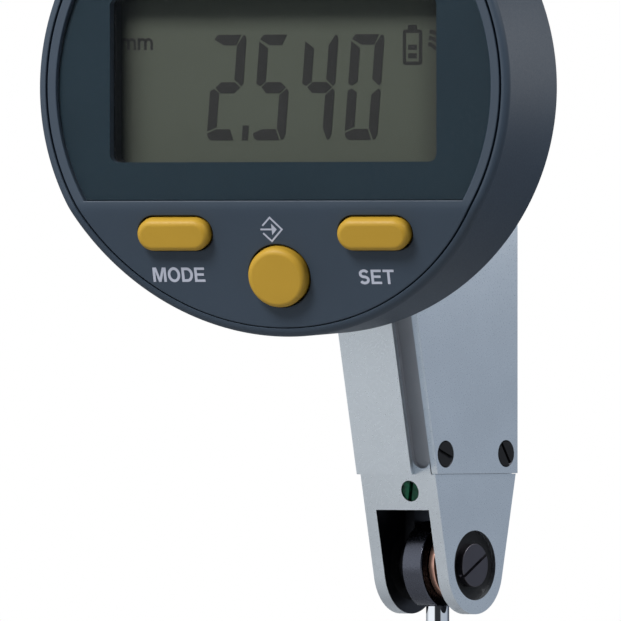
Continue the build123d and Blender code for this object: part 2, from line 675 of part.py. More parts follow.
def encoder_stator():
    """Circuit board with the fixed half of the encoder."""
    half = STATOR_THICKNESS / 2
    board = cavity_slice(-half, half, STATOR_LOW_Z, STATOR_HIGH_Z)
    return board - x_rod(PINION_ARBOR_RADIUS + 0.3, -1, 1, PIVOT_Y, PINION_Z)


def bridge(x0):
    """Plate across the cavity that holds a jewel."""
    z0 = PINION_Z - BRIDGE_HALF_HEIGHT
    plate = cavity_slice(x0, x0 + BRIDGE_THICKNESS, z0, PINION_Z + BRIDGE_HALF_HEIGHT)
    return plate - x_rod(JEWEL_RADIUS, x0 - 1, x0 + 2, PIVOT_Y, PINION_Z)


def jewel_bearings():
    """Two ring jewels, one in each bridge."""
    jewels = []
    for x0 in (-CORE_WIDTH / 2, RIGHT_BRIDGE_X):
        jewel = x_rod(JEWEL_RADIUS, x0, x0 + BRIDGE_THICKNESS, PIVOT_Y, PINION_Z)
        hole = x_rod(PINION_PIVOT_RADIUS + RUNNING_GAP, x0 - 1, x0 + 2, PIVOT_Y, PINION_Z)
        jewels.append(jewel - hole)
    return Compound(children=jewels)


def hairspring_x():
    """Left side of the hairspring, between the rotor and the right bridge."""
    return STATOR_THICKNESS / 2 + ENCODER_AIR_GAP + ENCODER_ROTOR_THICKNESS + 0.3


def hairspring():
    """Flat spiral spring of half-circle arcs."""
    lines = []
    radius = HAIRSPRING_START
    centre = 0.0
    side = 1
    point = (radius, 0.0)
    for _ in range(2 * HAIRSPRING_TURNS):
        end = (centre - side * radius, 0.0)
        top = (centre, side * radius)
        lines.append(ThreePointArc(point, top, end))
        step = HAIRSPRING_PITCH / 2
        centre += side * step
        radius += step
        point = end
        side = -side
    path = Wire(lines)
    middle = hairspring_x() + HAIRSPRING_HEIGHT / 2
    plane = Plane(origin=(middle, PIVOT_Y, PINION_Z), x_dir=(0, 1, 0), z_dir=(1, 0, 0))
    start = Plane(origin=(HAIRSPRING_START, 0, 0), x_dir=(1, 0, 0), z_dir=(0, 1, 0))
    ribbon = sweep(start * Rectangle(HAIRSPRING_WIRE, HAIRSPRING_HEIGHT), path=path)
    return plane * ribbon


def hairspring_stud():
    """Stud on the right bridge that holds the outer end of the hairspring."""
    outer = HAIRSPRING_START + HAIRSPRING_TURNS * HAIRSPRING_PITCH + HAIRSPRING_WIRE / 2
    y = PIVOT_Y + outer + STUD_RADIUS
    return x_rod(STUD_RADIUS, hairspring_x(), RIGHT_BRIDGE_X, y, PINION_Z)


def signal_cable():
    """Thin cable from the encoder board up through the frame and into the swivel tube."""
    path = FilletPolyline(
        (0, CABLE_Y, STATOR_HIGH_Z),
        (0, CABLE_Y, CABLE_TOP_Z),
        (0, SWIVEL_Y, CABLE_TOP_Z),
        (0, SWIVEL_Y, CABLE_END_Z),
        radius=CABLE_BEND,
    )
    start = Plane(origin=(0, CABLE_Y, STATOR_HIGH_Z), z_dir=(0, 0, 1))
    return sweep(start * Circle(CABLE_RADIUS), path=path)


# Stylus

def stylus_drum():
    """Drum on the arbor, with a flat for the stem."""
    drum = x_rod(DRUM_RADIUS, -DRUM_HALF, DRUM_HALF, PIVOT_Y, PIVOT_Z)
    drum = chamfer(drum.edges().filter_by(GeomType.CIRCLE), DRUM_CHAMFER)
    reach = 2 * DRUM_RADIUS
    flat_z = PIVOT_Z - DRUM_FLAT
    drum -= block(-DRUM_WIDTH, DRUM_WIDTH, PIVOT_Y - reach, PIVOT_Y + reach, flat_z - reach, flat_z)
    drum -= z_rod(STEM_STUB_RADIUS, flat_z - 1, flat_z + STEM_STUB_LENGTH, 0, PIVOT_Y)
    return drum - x_rod(ARBOR_RADIUS + CLUTCH_GAP, -DRUM_WIDTH, DRUM_WIDTH, PIVOT_Y, PIVOT_Z)


def stylus_stem():
    """Stem turned in one profile: threaded stub, shank, taper and neck."""
    top = PIVOT_Z - DRUM_FLAT
    ball_z = PIVOT_Z - STYLUS_LENGTH
    neck_z = ball_z + STEM_NECK_LENGTH
    low = ball_z + BALL_RADIUS * 0.85
    points = [
        (0, top + STEM_STUB_LENGTH),
        (STEM_STUB_RADIUS, top + STEM_STUB_LENGTH),
        (STEM_STUB_RADIUS, top),
        (STEM_RADIUS, top),
        (STEM_RADIUS, top - STEM_STRAIGHT),
        (STEM_NECK_RADIUS, neck_z),
        (STEM_NECK_RADIUS, low),
        (0, low),
    ]
    profile = Plane.XZ * Polygon(*points, align=None)
    return Pos(0, PIVOT_Y, 0) * (revolve(profile, Axis.Z) - Pos(0, 0, ball_z) * Sphere(BALL_RADIUS))


def stylus_ball():
    return Pos(0, PIVOT_Y, PIVOT_Z - STYLUS_LENGTH) * Sphere(BALL_RADIUS)


# Display head, made in its own frame

def barrel(front_radius, back_radius, y0, y1):
    """Tapered round body along Y."""
    return Pos(0, (y0 + y1) / 2, 0) * Rot(-90, 0, 0) * Cone(front_radius, back_radius, y1 - y0)


def face_layer(depth0, depth1, reach=30.0):
    """Layer that follows the flat face and the leaning panel, between two depths."""
    drop = (reach + CREASE_Z) * tan(radians(PANEL_TILT))
    points = [
        (depth0, reach),
        (depth0, CREASE_Z),
        (depth0 + drop, -reach),
        (depth1 + drop, -reach),
        (depth1, CREASE_Z),
        (depth1, reach),
    ]
    return side_plate(points, -reach, reach)


def face_disc(radius, depth0, depth1):
    """Round layer of the face."""
    return face_layer(depth0, depth1) & y_rod(radius, -1, HEAD_DEPTH, 0, 0)


def post_places():
    """(x, z) of the four posts that the housing screws enter."""
    return [(POST_CIRCLE * cos(radians(a)), POST_CIRCLE * sin(radians(a))) for a in POST_ANGLES]


def window_outline(radius, low_z, y0, y1):
    """Round plate with a straight lower edge."""
    disc = y_rod(radius, y0, y1, 0, 0)
    return disc - block(-radius - 1, radius + 1, y0 - 1, y1 + 1, -radius - 1, low_z)


def button_blank(kind, grow, n0, n1):
    """Straight block with a button's outline, between two heights above the panel."""
    if kind == "data":
        outline = Pos(0, DATA_BUTTON_V) * Circle(ROUND_RADIUS + grow)
    else:
        x = -BUTTON_X if kind == "mode" else BUTTON_X
        outline = Pos(x, BUTTON_ROW_V) * SlotOverall(OBLONG_LENGTH + 2 * grow, OBLONG_HEIGHT + 2 * grow)
    plane = PANEL.offset(n0)
    return extrude(plane * outline, n1 - n0, dir=PANEL_NORMAL)


def button(kind):
    """Button cap with a rounded top edge and a retaining flange."""
    cap = button_blank(kind, 0, 0.5 - BUTTON_BACK, BUTTON_PROUD)
    top = [e for e in cap.edges() if PANEL.to_local_coords(e.center()).Z > BUTTON_PROUD - 0.01]
    cap = fillet(top, BUTTON_ROUND)
    return cap + button_blank(kind, BUTTON_FLANGE, -BUTTON_BACK, BUTTON_FLANGE_THICKNESS - BUTTON_BACK)


def head_housing():
    """Cup with a rounded rim, cut on top by the face's two planes."""
    shell = barrel(HEAD_RADIUS, HEAD_RADIUS - HEAD_TAPER, 0, HEAD_DEPTH)
    shell &= face_layer(0, 2 * HEAD_DEPTH)
    curved = [e for e in shell.edges() if e.geom_type != GeomType.LINE]
    front = [e for e in curved if e.center().Y < HEAD_DEPTH / 2]
    shell = fillet(front, RIM_ROUND)
    back = [e for e in shell.edges() if e.center().Y > HEAD_DEPTH - 0.01]
    shell = chamfer(back, BACK_CHAMFER)
    shell -= face_disc(FACE_RADIUS + FACE_GAP, -1, FACE_THICKNESS + SEAL_THICKNESS)
    shell -= y_rod(HEAD_RADIUS - HEAD_WALL, -1, CAVITY_DEPTH, 0, 0)
    shell -= y_rod(CELL_RADIUS + BATTERY_WELL_GAP, CAVITY_DEPTH - 1, HEAD_DEPTH + 1, 0, BATTERY_CENTRE_Z)
    shell -= y_rod(CAP_RADIUS + CAP_GAP, CAP_SEAT, HEAD_DEPTH + 1, 0, BATTERY_CENTRE_Z)
    radius, shank = HOUSING_SCREW_RADIUS, HOUSING_SCREW_SHANK
    for x, z in post_places():
        hole = screw_hole(radius, shank, shank, HOUSING_SCREW_LENGTH)
        shell -= Pos(x, HEAD_DEPTH, z) * Rot(-90, 0, 0) * hole
    pocket = HEAD_DEPTH - FLANGE_THICKNESS
    shell -= rounded_bar(FLANGE_WIDTH, FLANGE_HEIGHT, FLANGE_CORNER, pocket, HEAD_DEPTH + 1, KNUCKLE_Z)
    for x in (-FLANGE_SCREW_X, FLANGE_SCREW_X):
        shell -= y_rod(FLANGE_SCREW_SHANK, HEAD_DEPTH - FLANGE_SCREW_LENGTH, HEAD_DEPTH, x, KNUCKLE_Z)
    return shell - y_rod(CABLE_RADIUS + CABLE_HOLE_GAP, CAVITY_DEPTH - 1, HEAD_DEPTH + 1, 0, KNUCKLE_Z)


def face_plate():
    """Front plate: flat ring, leaning button panel, window recess and four posts."""
    plate = face_disc(FACE_RADIUS, 0, FACE_THICKNESS)
    recess = WINDOW_THICKNESS + MASK_THICKNESS
    plate -= window_outline(WINDOW_RADIUS + WINDOW_GAP, WINDOW_LOW_Z - WINDOW_GAP, -1, recess)
    plate -= rounded_bar(VIEW_WIDTH, VIEW_HEIGHT, VIEW_CORNER, -1, FACE_THICKNESS + 1, VIEW_CENTRE_Z)
    for kind in ("mode", "set", "data"):
        plate -= button_blank(kind, BUTTON_GAP, -2 * FACE_THICKNESS, BUTTON_PROUD)
    for x, z in post_places():
        post = y_rod(POST_RADIUS, 0, CAVITY_DEPTH, x, z) & face_layer(recess + MASK_THICKNESS, HEAD_DEPTH)
        start = HEAD_DEPTH - HOUSING_SCREW_LENGTH
        plate += post
        plate -= y_rod(HOUSING_SCREW_SHANK, start, CAVITY_DEPTH + 1, x, z)
    return plate


def face_seal():
    """Flat ring between the face plate and its ledge in the housing."""
    outer = face_disc(FACE_RADIUS, FACE_THICKNESS, FACE_THICKNESS + SEAL_THICKNESS)
    return outer - y_rod(FACE_RADIUS - SEAL_WIDTH, -1, HEAD_DEPTH, 0, 0)


def window_mask():
    """Printed mask behind the window, open over the display."""
    back = WINDOW_THICKNESS + MASK_THICKNESS
    mask = window_outline(WINDOW_RADIUS, WINDOW_LOW_Z, WINDOW_THICKNESS, back)
    return mask - rounded_bar(VIEW_WIDTH, VIEW_HEIGHT, VIEW_CORNER, 0, FACE_THICKNESS, VIEW_CENTRE_Z)


def display_cell():
    """Liquid crystal cell behind the window."""
    width = VIEW_WIDTH + 2 * CELL_MARGIN
    height = VIEW_HEIGHT + 2 * CELL_MARGIN
    back = CELL_FRONT + CELL_THICKNESS
    return rounded_bar(width, height, 0.2, CELL_FRONT, back, VIEW_CENTRE_Z)


def display_holder():
    """Moulded frame that clips the display cell to the main board."""
    width = VIEW_WIDTH + 2 * CELL_MARGIN
    height = VIEW_HEIGHT + 2 * CELL_MARGIN
    wall = 2 * (HOLDER_WALL + HOLDER_GAP)
    start = FACE_THICKNESS
    holder = rounded_bar(width + wall, height + wall, VIEW_CORNER, start, BOARD_FRONT, VIEW_CENTRE_Z)
    gap = 2 * HOLDER_GAP
    holder -= rounded_bar(width + gap, height + gap, 0.25, CELL_FRONT, BOARD_FRONT + 1, VIEW_CENTRE_Z)
    return holder - rounded_bar(VIEW_WIDTH, VIEW_HEIGHT, VIEW_CORNER, 0, CELL_FRONT + 1, VIEW_CENTRE_Z)


def display_diffuser():
    start = CELL_FRONT + CELL_THICKNESS
    width = VIEW_WIDTH - 2 * DIFFUSER_INSET
    height = VIEW_HEIGHT - 2 * DIFFUSER_INSET
    return rounded_bar(width, height, 0.3, start, start + DIFFUSER_THICKNESS, VIEW_CENTRE_Z)


def connector_strips():
    """Two rubber strips that join the cell's contacts to the main board."""
    strips = []
    for side in (-1, 1):
        z = VIEW_CENTRE_Z + side * (VIEW_HEIGHT / 2 + CELL_MARGIN - STRIP_THICKNESS / 2 - 0.3)
        half = VIEW_WIDTH / 2 - STRIP_INSET
        low = z - STRIP_THICKNESS / 2
        start = CELL_FRONT + CELL_THICKNESS
        strips.append(block(-half, half, start, BOARD_FRONT, low, low + STRIP_THICKNESS))
    return Compound(children=strips)


def main_board():
    """Round board with a straight lower edge and notches for the posts."""
    board = window_outline(BOARD_RADIUS, BOARD_LOW_Z, BOARD_FRONT, BOARD_FRONT + BOARD_THICKNESS)
    for x, z in post_places():
        board -= y_rod(POST_RADIUS + POST_NOTCH_GAP, 0, HEAD_DEPTH, x, z)
    return board


def board_chip(width, height, x):
    """Flat package on the back of the main board."""
    start = BOARD_FRONT + BOARD_THICKNESS
    low = CHIP_Z - height / 2
    return block(x - width / 2, x + width / 2, start, start + CHIP_HEIGHT, low, low + height)


def panel_plate(n0, n1):
    """Plate parallel to the button panel, inside the housing's wall."""
    middle = (MAT_HIGH_V + MAT_LOW_V) / 2
    outline = Pos(0, middle) * Rectangle(2 * MAT_HALF_WIDTH, MAT_HIGH_V - MAT_LOW_V)
    plate = extrude(PANEL.offset(n0) * outline, n1 - n0, dir=PANEL_NORMAL)
    return plate & y_rod(HEAD_RADIUS - HEAD_WALL - 0.2, 0, HEAD_DEPTH, 0, 0)


def keypad_mat():
    """Rubber mat with a dome under each button."""
    mat = panel_plate(-MAT_FRONT - MAT_THICKNESS, -MAT_FRONT)
    places = [(-BUTTON_X, BUTTON_ROW_V), (BUTTON_X, BUTTON_ROW_V), (0, DATA_BUTTON_V)]
    for x, v in places:
        dome = Cone(DOME_RADIUS, DOME_RADIUS * 0.7, DOME_HEIGHT)
        mat += PANEL.offset(DOME_HEIGHT / 2 - MAT_FRONT) * (Pos(x, v) * dome)
    return mat


def keypad_board():
    start = MAT_FRONT + MAT_THICKNESS
    return panel_plate(-start - KEY_BOARD_THICKNESS, -start)


def coin_cell():
    """Coin cell with its smaller negative face towards the board."""
    back = BATTERY_FRONT + BATTERY_HEIGHT
    can = y_rod(CELL_RADIUS, BATTERY_FRONT + 0.3, back, 0, BATTERY_CENTRE_Z)
    return can + y_rod(CELL_RADIUS * 0.86, BATTERY_FRONT, back, 0, BATTERY_CENTRE_Z)


def negative_contact():
    """Sprung strip between the board and the cell."""
    start = BOARD_FRONT + BOARD_THICKNESS
    end = BATTERY_FRONT
    z = BATTERY_CENTRE_Z
    half = CONTACT_WIDTH / 2
    foot = block(-half, half, start, start + CONTACT_THICKNESS, z - CONTACT_FOOT, z)
    riser = block(-half, half, start, end, z - CONTACT_THICKNESS, z)
    tongue = block(-half, half, end - CONTACT_THICKNESS, end, z - CONTACT_THICKNESS, z + CONTACT_TONGUE)
    return foot + riser + tongue


def positive_contact():
    """Clip at the edge of the cell."""
    start = BOARD_FRONT + BOARD_THICKNESS
    edge = BATTERY_CENTRE_Z - CELL_RADIUS
    end = BATTERY_FRONT + BATTERY_HEIGHT * 0.7
    half = CLIP_WIDTH / 2
    foot = block(-half, half, start, start + CONTACT_THICKNESS, edge - CONTACT_THICKNESS, edge + CLIP_FOOT)
    clip = block(-half, half, start, end, edge - CONTACT_THICKNESS, edge)
    well = y_rod(CELL_RADIUS + BATTERY_WELL_GAP, 0, HEAD_DEPTH, 0, BATTERY_CENTRE_Z)
    return foot + (clip & well)


def cap_seal():
    """Ring under the battery cap."""
    ring = y_rod(CAP_RADIUS, CAP_SEAT, CAP_FRONT - CAP_SEAL_GAP, 0, BATTERY_CENTRE_Z)
    inner = CAP_RADIUS - CAP_SEAL_WIDTH
    return ring - y_rod(inner, CAP_SEAT - 1, CAP_SEAT + 2, 0, BATTERY_CENTRE_Z)


def battery_cap():
    """Round cap with a coin slot."""
    back = CAP_FRONT + CAP_THICKNESS
    cap = y_rod(CAP_RADIUS, CAP_FRONT, back, 0, BATTERY_CENTRE_Z)
    cap = chamfer(cap.edges().filter_by(GeomType.CIRCLE).sort_by(Axis.Y)[-1], 0.25)
    boss = CELL_RADIUS * 0.75
    cap += y_rod(boss, CAP_FRONT - CAP_BOSS_HEIGHT, CAP_FRONT, 0, BATTERY_CENTRE_Z)
    length, width, depth = COIN_SLOT
    return cap - block(
        -length / 2, length / 2,
        back - depth, back + 1,
        BATTERY_CENTRE_Z - width / 2, BATTERY_CENTRE_Z + width / 2,
    )


def housing_screws():
    """Four slotted screws from the back of the housing into the posts."""
    screws = []
    radius, shank = HOUSING_SCREW_RADIUS, HOUSING_SCREW_SHANK
    for (x, z), turn in zip(post_places(), (0, 40, 80, 120)):
        screw = slotted_screw(radius, shank, shank, HOUSING_SCREW_LENGTH, 0.35, turn)
        screws.append(Pos(x, HEAD_DEPTH, z) * Rot(-90, 0, 0) * screw)
    return Compound(children=screws)


def knuckle_screws():
    """Two screws through the knuckle's flange."""
    screws = []
    for x, turn in ((-FLANGE_SCREW_X, 20), (FLANGE_SCREW_X, 75)):
        screw = slotted_screw(
            FLANGE_SCREW_RADIUS, FLANGE_SCREW_SHANK, FLANGE_SCREW_SHANK, FLANGE_SCREW_LENGTH, 0.3, turn
        )
        screws.append(Pos(x, HEAD_DEPTH, KNUCKLE_Z) * Rot(-90, 0, 0) * screw)
    return Compound(children=screws)


def swivel_knuckle():
    """Flange in the housing's back, with a web and a bored barrel on the swivel axis."""
    start = HEAD_DEPTH - FLANGE_THICKNESS
    half = KNUCKLE_HEIGHT / 2
    knuckle = rounded_bar(FLANGE_WIDTH, FLANGE_HEIGHT, FLANGE_CORNER, start, HEAD_DEPTH, KNUCKLE_Z)
    web = KNUCKLE_WEB_WIDTH / 2
    knuckle += block(-web, web, start, HEAD_REACH, KNUCKLE_Z - half, KNUCKLE_Z + half)
    knuckle += z_rod(KNUCKLE_RADIUS, KNUCKLE_Z - half, KNUCKLE_Z + half, 0, HEAD_REACH)
    bore = SWIVEL_TUBE_RADIUS + RUNNING_GAP
    knuckle -= z_rod(bore, KNUCKLE_Z - KNUCKLE_HEIGHT, KNUCKLE_Z + KNUCKLE_HEIGHT, 0, HEAD_REACH)
    for x in (-FLANGE_SCREW_X, FLANGE_SCREW_X):
        hole = screw_hole(FLANGE_SCREW_RADIUS, FLANGE_SCREW_SHANK, FLANGE_SCREW_SHANK, FLANGE_SCREW_LENGTH)
        knuckle -= Pos(x, HEAD_DEPTH, KNUCKLE_Z) * Rot(-90, 0, 0) * hole
    return knuckle - y_rod(CABLE_RADIUS + CABLE_HOLE_GAP, start - 1, HEAD_REACH, 0, KNUCKLE_Z)


def head_lead():
    """Lead from the main board back to the swivel tube."""
    end = HEAD_REACH - SWIVEL_TUBE_RADIUS - RUNNING_GAP
    return y_rod(CABLE_RADIUS, BOARD_FRONT + BOARD_THICKNESS, end, 0, KNUCKLE_Z)


def body_nodes():
    """Name and solid of each piece of the body, the movement and the stylus."""
    washer_x = DRUM_HALF + CLUTCH_GAP
    spring_x = washer_x + FRICTION_WASHER_THICKNESS
    plate_x = LEVER_X + LEVER_THICKNESS
    return {
        "body_frame": body_frame(),
        "right_side_cover": side_cover(1),
        "left_side_cover": side_cover(-1),
        "cover_screws": cover_screws(),
        "fork_set_screw": fork_set_screw(),
        "right_bearing_ring": bearing_ring(1),
        "left_bearing_ring": bearing_ring(-1),
        "right_pivot_screw": pivot_screw(1),
        "left_pivot_screw": pivot_screw(-1),
        "swivel_tube": swivel_tube(),
        "swivel_washers": swivel_washers(),
        "encoder_stator": encoder_stator(),
        "left_bridge": bridge(-CORE_WIDTH / 2),
        "right_bridge": bridge(RIGHT_BRIDGE_X),
        "jewel_bearings": jewel_bearings(),
        "hairspring": hairspring(),
        "hairspring_stud": hairspring_stud(),
        "signal_cable": signal_cable(),
        "lever_arbor": lever_arbor(),
        "measuring_lever": measuring_lever(),
        "clutch_plate": ring_on_arbor(CLUTCH_RADIUS, plate_x, plate_x + CLUTCH_PLATE_THICKNESS),
        "friction_washer": ring_on_arbor(CLUTCH_RADIUS, washer_x, spring_x),
        "spring_washer": ring_on_arbor(SPRING_WASHER_RADIUS, spring_x, spring_x + SPRING_WASHER_THICKNESS),
        "clutch_nut": clutch_nut(),
        "encoder_pinion": encoder_pinion(),
        "encoder_rotor": encoder_rotor(),
        "stylus_drum": stylus_drum(),
        "stylus_stem": stylus_stem(),
        "stylus_ball": stylus_ball(),
    }


def head_nodes():
    """Name and solid of each piece of the display head, in the head's own frame."""
    return {
        "head_housing": head_housing(),
        "face_plate": face_plate(),
        "face_seal": face_seal(),
        "display_window": window_outline(WINDOW_RADIUS, WINDOW_LOW_Z, 0, WINDOW_THICKNESS),
        "window_mask": window_mask(),
        "display_cell": display_cell(),
        "display_holder": display_holder(),
        "display_diffuser": display_diffuser(),
        "connector_strips": connector_strips(),
        "main_board": main_board(),
        "processor_chip": board_chip(PROCESSOR_SIZE, PROCESSOR_SIZE, -CHIP_X),
        "radio_module": board_chip(RADIO_SIZE[0], RADIO_SIZE[1], CHIP_X),
        "keypad_mat": keypad_mat(),
        "keypad_board": keypad_board(),
        "mode_button": button("mode"),
        "set_button": button("set"),
        "data_button": button("data"),
        "coin_cell": coin_cell(),
        "negative_contact": negative_contact(),
        "positive_contact": positive_contact(),
        "cap_seal": cap_seal(),
        "battery_cap": battery_cap(),
        "housing_screws": housing_screws(),
        "swivel_knuckle": swivel_knuckle(),
        "knuckle_screws": knuckle_screws(),
        "head_lead": head_lead(),
    }


def main():
    os.makedirs("parts", exist_ok=True)
    nodes = body_nodes()
    for name, shape in head_nodes().items():
        nodes[name] = HEAD_PLACE * shape
    for name, shape in nodes.items():
        export_step(shape, f"parts/{name}.step")


main()
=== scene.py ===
"""Finish, display, lettering and studio of a digital test indicator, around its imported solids."""

import json
from math import acos, asin, atan2, cos, degrees, dist, exp, hypot, log, pi, radians, sin, tan

import bmesh
import bpy
from mathutils import Matrix, Vector


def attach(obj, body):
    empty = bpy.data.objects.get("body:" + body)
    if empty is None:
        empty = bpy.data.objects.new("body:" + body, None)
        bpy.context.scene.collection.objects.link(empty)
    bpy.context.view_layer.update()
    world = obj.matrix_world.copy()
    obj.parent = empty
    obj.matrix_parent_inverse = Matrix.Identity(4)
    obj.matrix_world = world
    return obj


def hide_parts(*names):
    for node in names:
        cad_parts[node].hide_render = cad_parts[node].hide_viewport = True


bl_info = {
    "name": "Digital Test Indicator",
    "version": (1, 0, 0),
    "blender": (4, 5, 0),
    "location": "View3D > Sidebar > Test Indicator",
    "description": "Finishes the solids of a digital test indicator and sets its studio",
    "category": "Object",
}

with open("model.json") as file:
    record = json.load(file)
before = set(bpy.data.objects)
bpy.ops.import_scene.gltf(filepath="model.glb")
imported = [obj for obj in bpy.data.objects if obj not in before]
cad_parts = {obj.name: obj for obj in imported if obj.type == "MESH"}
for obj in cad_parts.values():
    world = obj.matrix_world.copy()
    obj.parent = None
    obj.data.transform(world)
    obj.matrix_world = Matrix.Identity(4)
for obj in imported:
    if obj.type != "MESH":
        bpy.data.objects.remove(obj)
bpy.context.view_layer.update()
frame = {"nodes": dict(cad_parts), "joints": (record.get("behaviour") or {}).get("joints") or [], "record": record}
MM = 0.001


def joint(name):
    """A joint of the record, by name."""
    return next(entry for entry in frame["joints"] if entry["name"] == name)


# Sizes in millimetres and angles in radians, as in the solids. The body's frame is the object's own.
LEAN = radians(12.5)
DOVETAIL_WIDTH = 6.0
DOVETAIL_HEIGHT = 2.0
REAR_DOVETAIL_HEIGHT = 1.8
DOVETAIL_FLANK = radians(30)
RAIL_ROOT = 0.3          # how far a rail reaches into the body
REAR_DOVETAIL_ENDS = 3.6
TOP_DOVETAIL_LENGTH = 12.0
BODY_BACK_Y = 17.1
BODY_TOP_Z = 20.0
BODY_WALL = 1.6
CORE_HALF = 3.65
COVER_X = 4.35
GROOVE_DEPTH = 0.4
GROOVE_RUNOUT = 0.95
GROOVE_END_GAP = 0.1
CAVITY_LOW_Z = -9.3
CAVITY_HIGH_Z = 6.0
FORK_TOP_Z = -13.1
FORK_HALF = 4.1
FORK_SLOT_HALF = 2.9
FORK_SLOT_TOP_Z = -16.26
EAR_RADIUS = 4.1
EAR_DROP = 0.24          # from the pivot down to the middle of the ears' round
PIVOT = Vector(joint("lever_swing")["pos_m"]) / MM
BEARING_RADIUS = 3.1
BEARING_X = (2.95, 3.7)
BEARING_DISH = 0.3
PIVOT_SCREW_RADIUS = 1.93
PIVOT_SCREW_X = 4.15
FINE_EDGE = 0.08         # rounding of the pivot screws, the washer and the glass
PIVOT_SLOT = (0.5, 0.28)  # depth and width
SLOT_REACH = 3.0         # of its cutter, past the screw's edge
SET_SCREW_RADIUS = 0.95
SET_SCREW_DEPTH = 3.12
SET_SCREW_X = 1.1
SET_SCREW_Z = -14.58
LEVER_X = -2.5
LEVER_THICKNESS = 1.0
LEVER_ROOM = 0.2         # each side of the lever in its passage
PASSAGE_HALF = 2.6
DRUM_RADIUS = 3.95
DRUM_HALF = 1.1
DRUM_FLAT = 3.55
DRUM_BORE = 0.85
DRUM_EDGE = 0.2
FRICTION_WASHER_RADIUS = 3.0
FRICTION_WASHER_X = (1.15, 1.8)
ARBOR_RADIUS = 0.8
STYLUS_LENGTH = 12.5
STEM_RADIUS = 1.03
STEM_EDGE = 0.1
STEM_STRAIGHT = 3.6
STEM_NECK_RADIUS = 0.45
STEM_NECK_LENGTH = 1.6
STEM_STUB_RADIUS = 0.5
STEM_STUB_LENGTH = 1.5
BALL_RADIUS = 1.0
BALL_SINK = 0.85         # from the ball's middle to the end of the neck
COVER_SCREW_RADIUS = 1.1
COVER_SCREW_SHANK = 0.55
COVER_SCREW_LENGTH = 2.3
COVER_SLOT = (0.3, 0.3)  # width and depth
COVER_SCREW_GAPS = (0.1, 0.06, 0.12)  # round the shank, the head and the hole's mouth
COUNTERSINK_SHADE_MARGIN = 0.25       # from a head's edge to where the painted shade round it ends
COVER_SCREW_INSET = 1.8
COVER_SCREW_FRONT_GAP = 1.65
SWIVEL_Z = 13.0
SWIVEL_Y = -3.1
LUG_RADIUS = 3.2
LUG_THICKNESS = 1.8
LUG_HEIGHT = 3.6         # from the swivel's middle to a lug
SWIVEL_TUBE_RADIUS = 1.5

# The head's own frame: x to the right, y backwards from the face, z up from its centre
HEAD_AXIS = Vector(joint("battery_cap_turn")["axis"])
PRESS_AXIS = Vector(joint("data_press")["axis"])
HEAD_TURN = atan2(-HEAD_AXIS.x, HEAD_AXIS.y)
TILT = atan2(PRESS_AXIS.z, hypot(PRESS_AXIS.x, PRESS_AXIS.y))
HEAD_CENTRE_Z = 21.0
HEAD_REACH = 18.0
HEAD_RADIUS = 21.98      # a touch inside the part's facets
HEAD_TAPER = 0.36
HEAD_DEPTH = 14.1
HEAD_WALL = 1.6
RIM_ROUND = 0.6
BACK_ROUND = 0.8
CREASE_Z = -10.6
FACE_RADIUS = 21.1
FACE_GAP = 0.15
SEAT_BREAK = (0.06, 0.08)  # width and depth of the broken edge round the face plate
FACE_THICKNESS = 1.6
LEDGE_Y = 1.8
CAVITY_DEPTH = 8.0
POST_CIRCLE = 18.2
POST_RADIUS = 1.6
POST_FRONT = 0.95
POST_ANGLES = (48.0, 132.0, 216.7, 323.3)
WINDOW_RADIUS = 20.2
WINDOW_LOW_Z = -9.9
WINDOW_THICKNESS = 0.6
MASK_THICKNESS = 0.15
WINDOW_GAP = 0.08
PRINT_GAP = 0.03         # from the glass to the print behind it
VIEW_WIDTH = 30.5
VIEW_HEIGHT = 14.4
VIEW_CORNER = 0.7
VIEW_CENTRE_Z = 0.6
VIEW_SHIFT = -0.2
JOINT = 0.05             # dark line round a cover
CELL_FRONT = 3.0
BUTTON_X = 9.33
BUTTON_ROW_V = -2.32
DATA_BUTTON_V = -6.23
OBLONG_LENGTH = 6.75
OBLONG_HEIGHT = 2.95
ROUND_RADIUS = 2.75
BUTTON_PROUD = 1.0
BUTTON_ROUND = 0.55
BUTTON_GAP = 0.12
BUTTON_TRIM = 0.04       # moulded caps come out a little small
BUTTON_FLANGE = 0.3
BUTTON_FLANGE_THICKNESS = 0.5
BUTTON_REST_GAP = 0.1
BATTERY_CENTRE_Z = 8.7
CELL_WELL_RADIUS = 10.2
CAP_RADIUS = 10.6
CAP_GAP = 0.1
CAP_EDGE = 0.25
CAP_SEAT = 11.8
CAP_FRONT = 12.3
CAP_BACK = 14.05
CAP_BOSS_FRONT = 11.55
CAP_BOSS_RADIUS = 7.5
COIN_SLOT = (9.0, 1.6, 0.8)
KNUCKLE_Z = -8.0
FLANGE_WIDTH = 12.4
FLANGE_HEIGHT = 8.4
FLANGE_THICKNESS = 1.0
FLANGE_CORNER = 1.0
HOUSING_SCREW_RADIUS = 1.1
HOUSING_SCREW_SHANK = 0.6
HOUSING_SCREW_LENGTH = 11.0
HOUSING_HOLE_DEPTH = 6.0
HOUSING_SCREW_TURNS = (0, 40, 80, 120)
HOUSING_SLOT = (0.35, 0.4)  # width and depth
HOUSING_GAP = 0.1        # round the parts let into the housing's back
LEAD_HOLE_RADIUS = 0.6

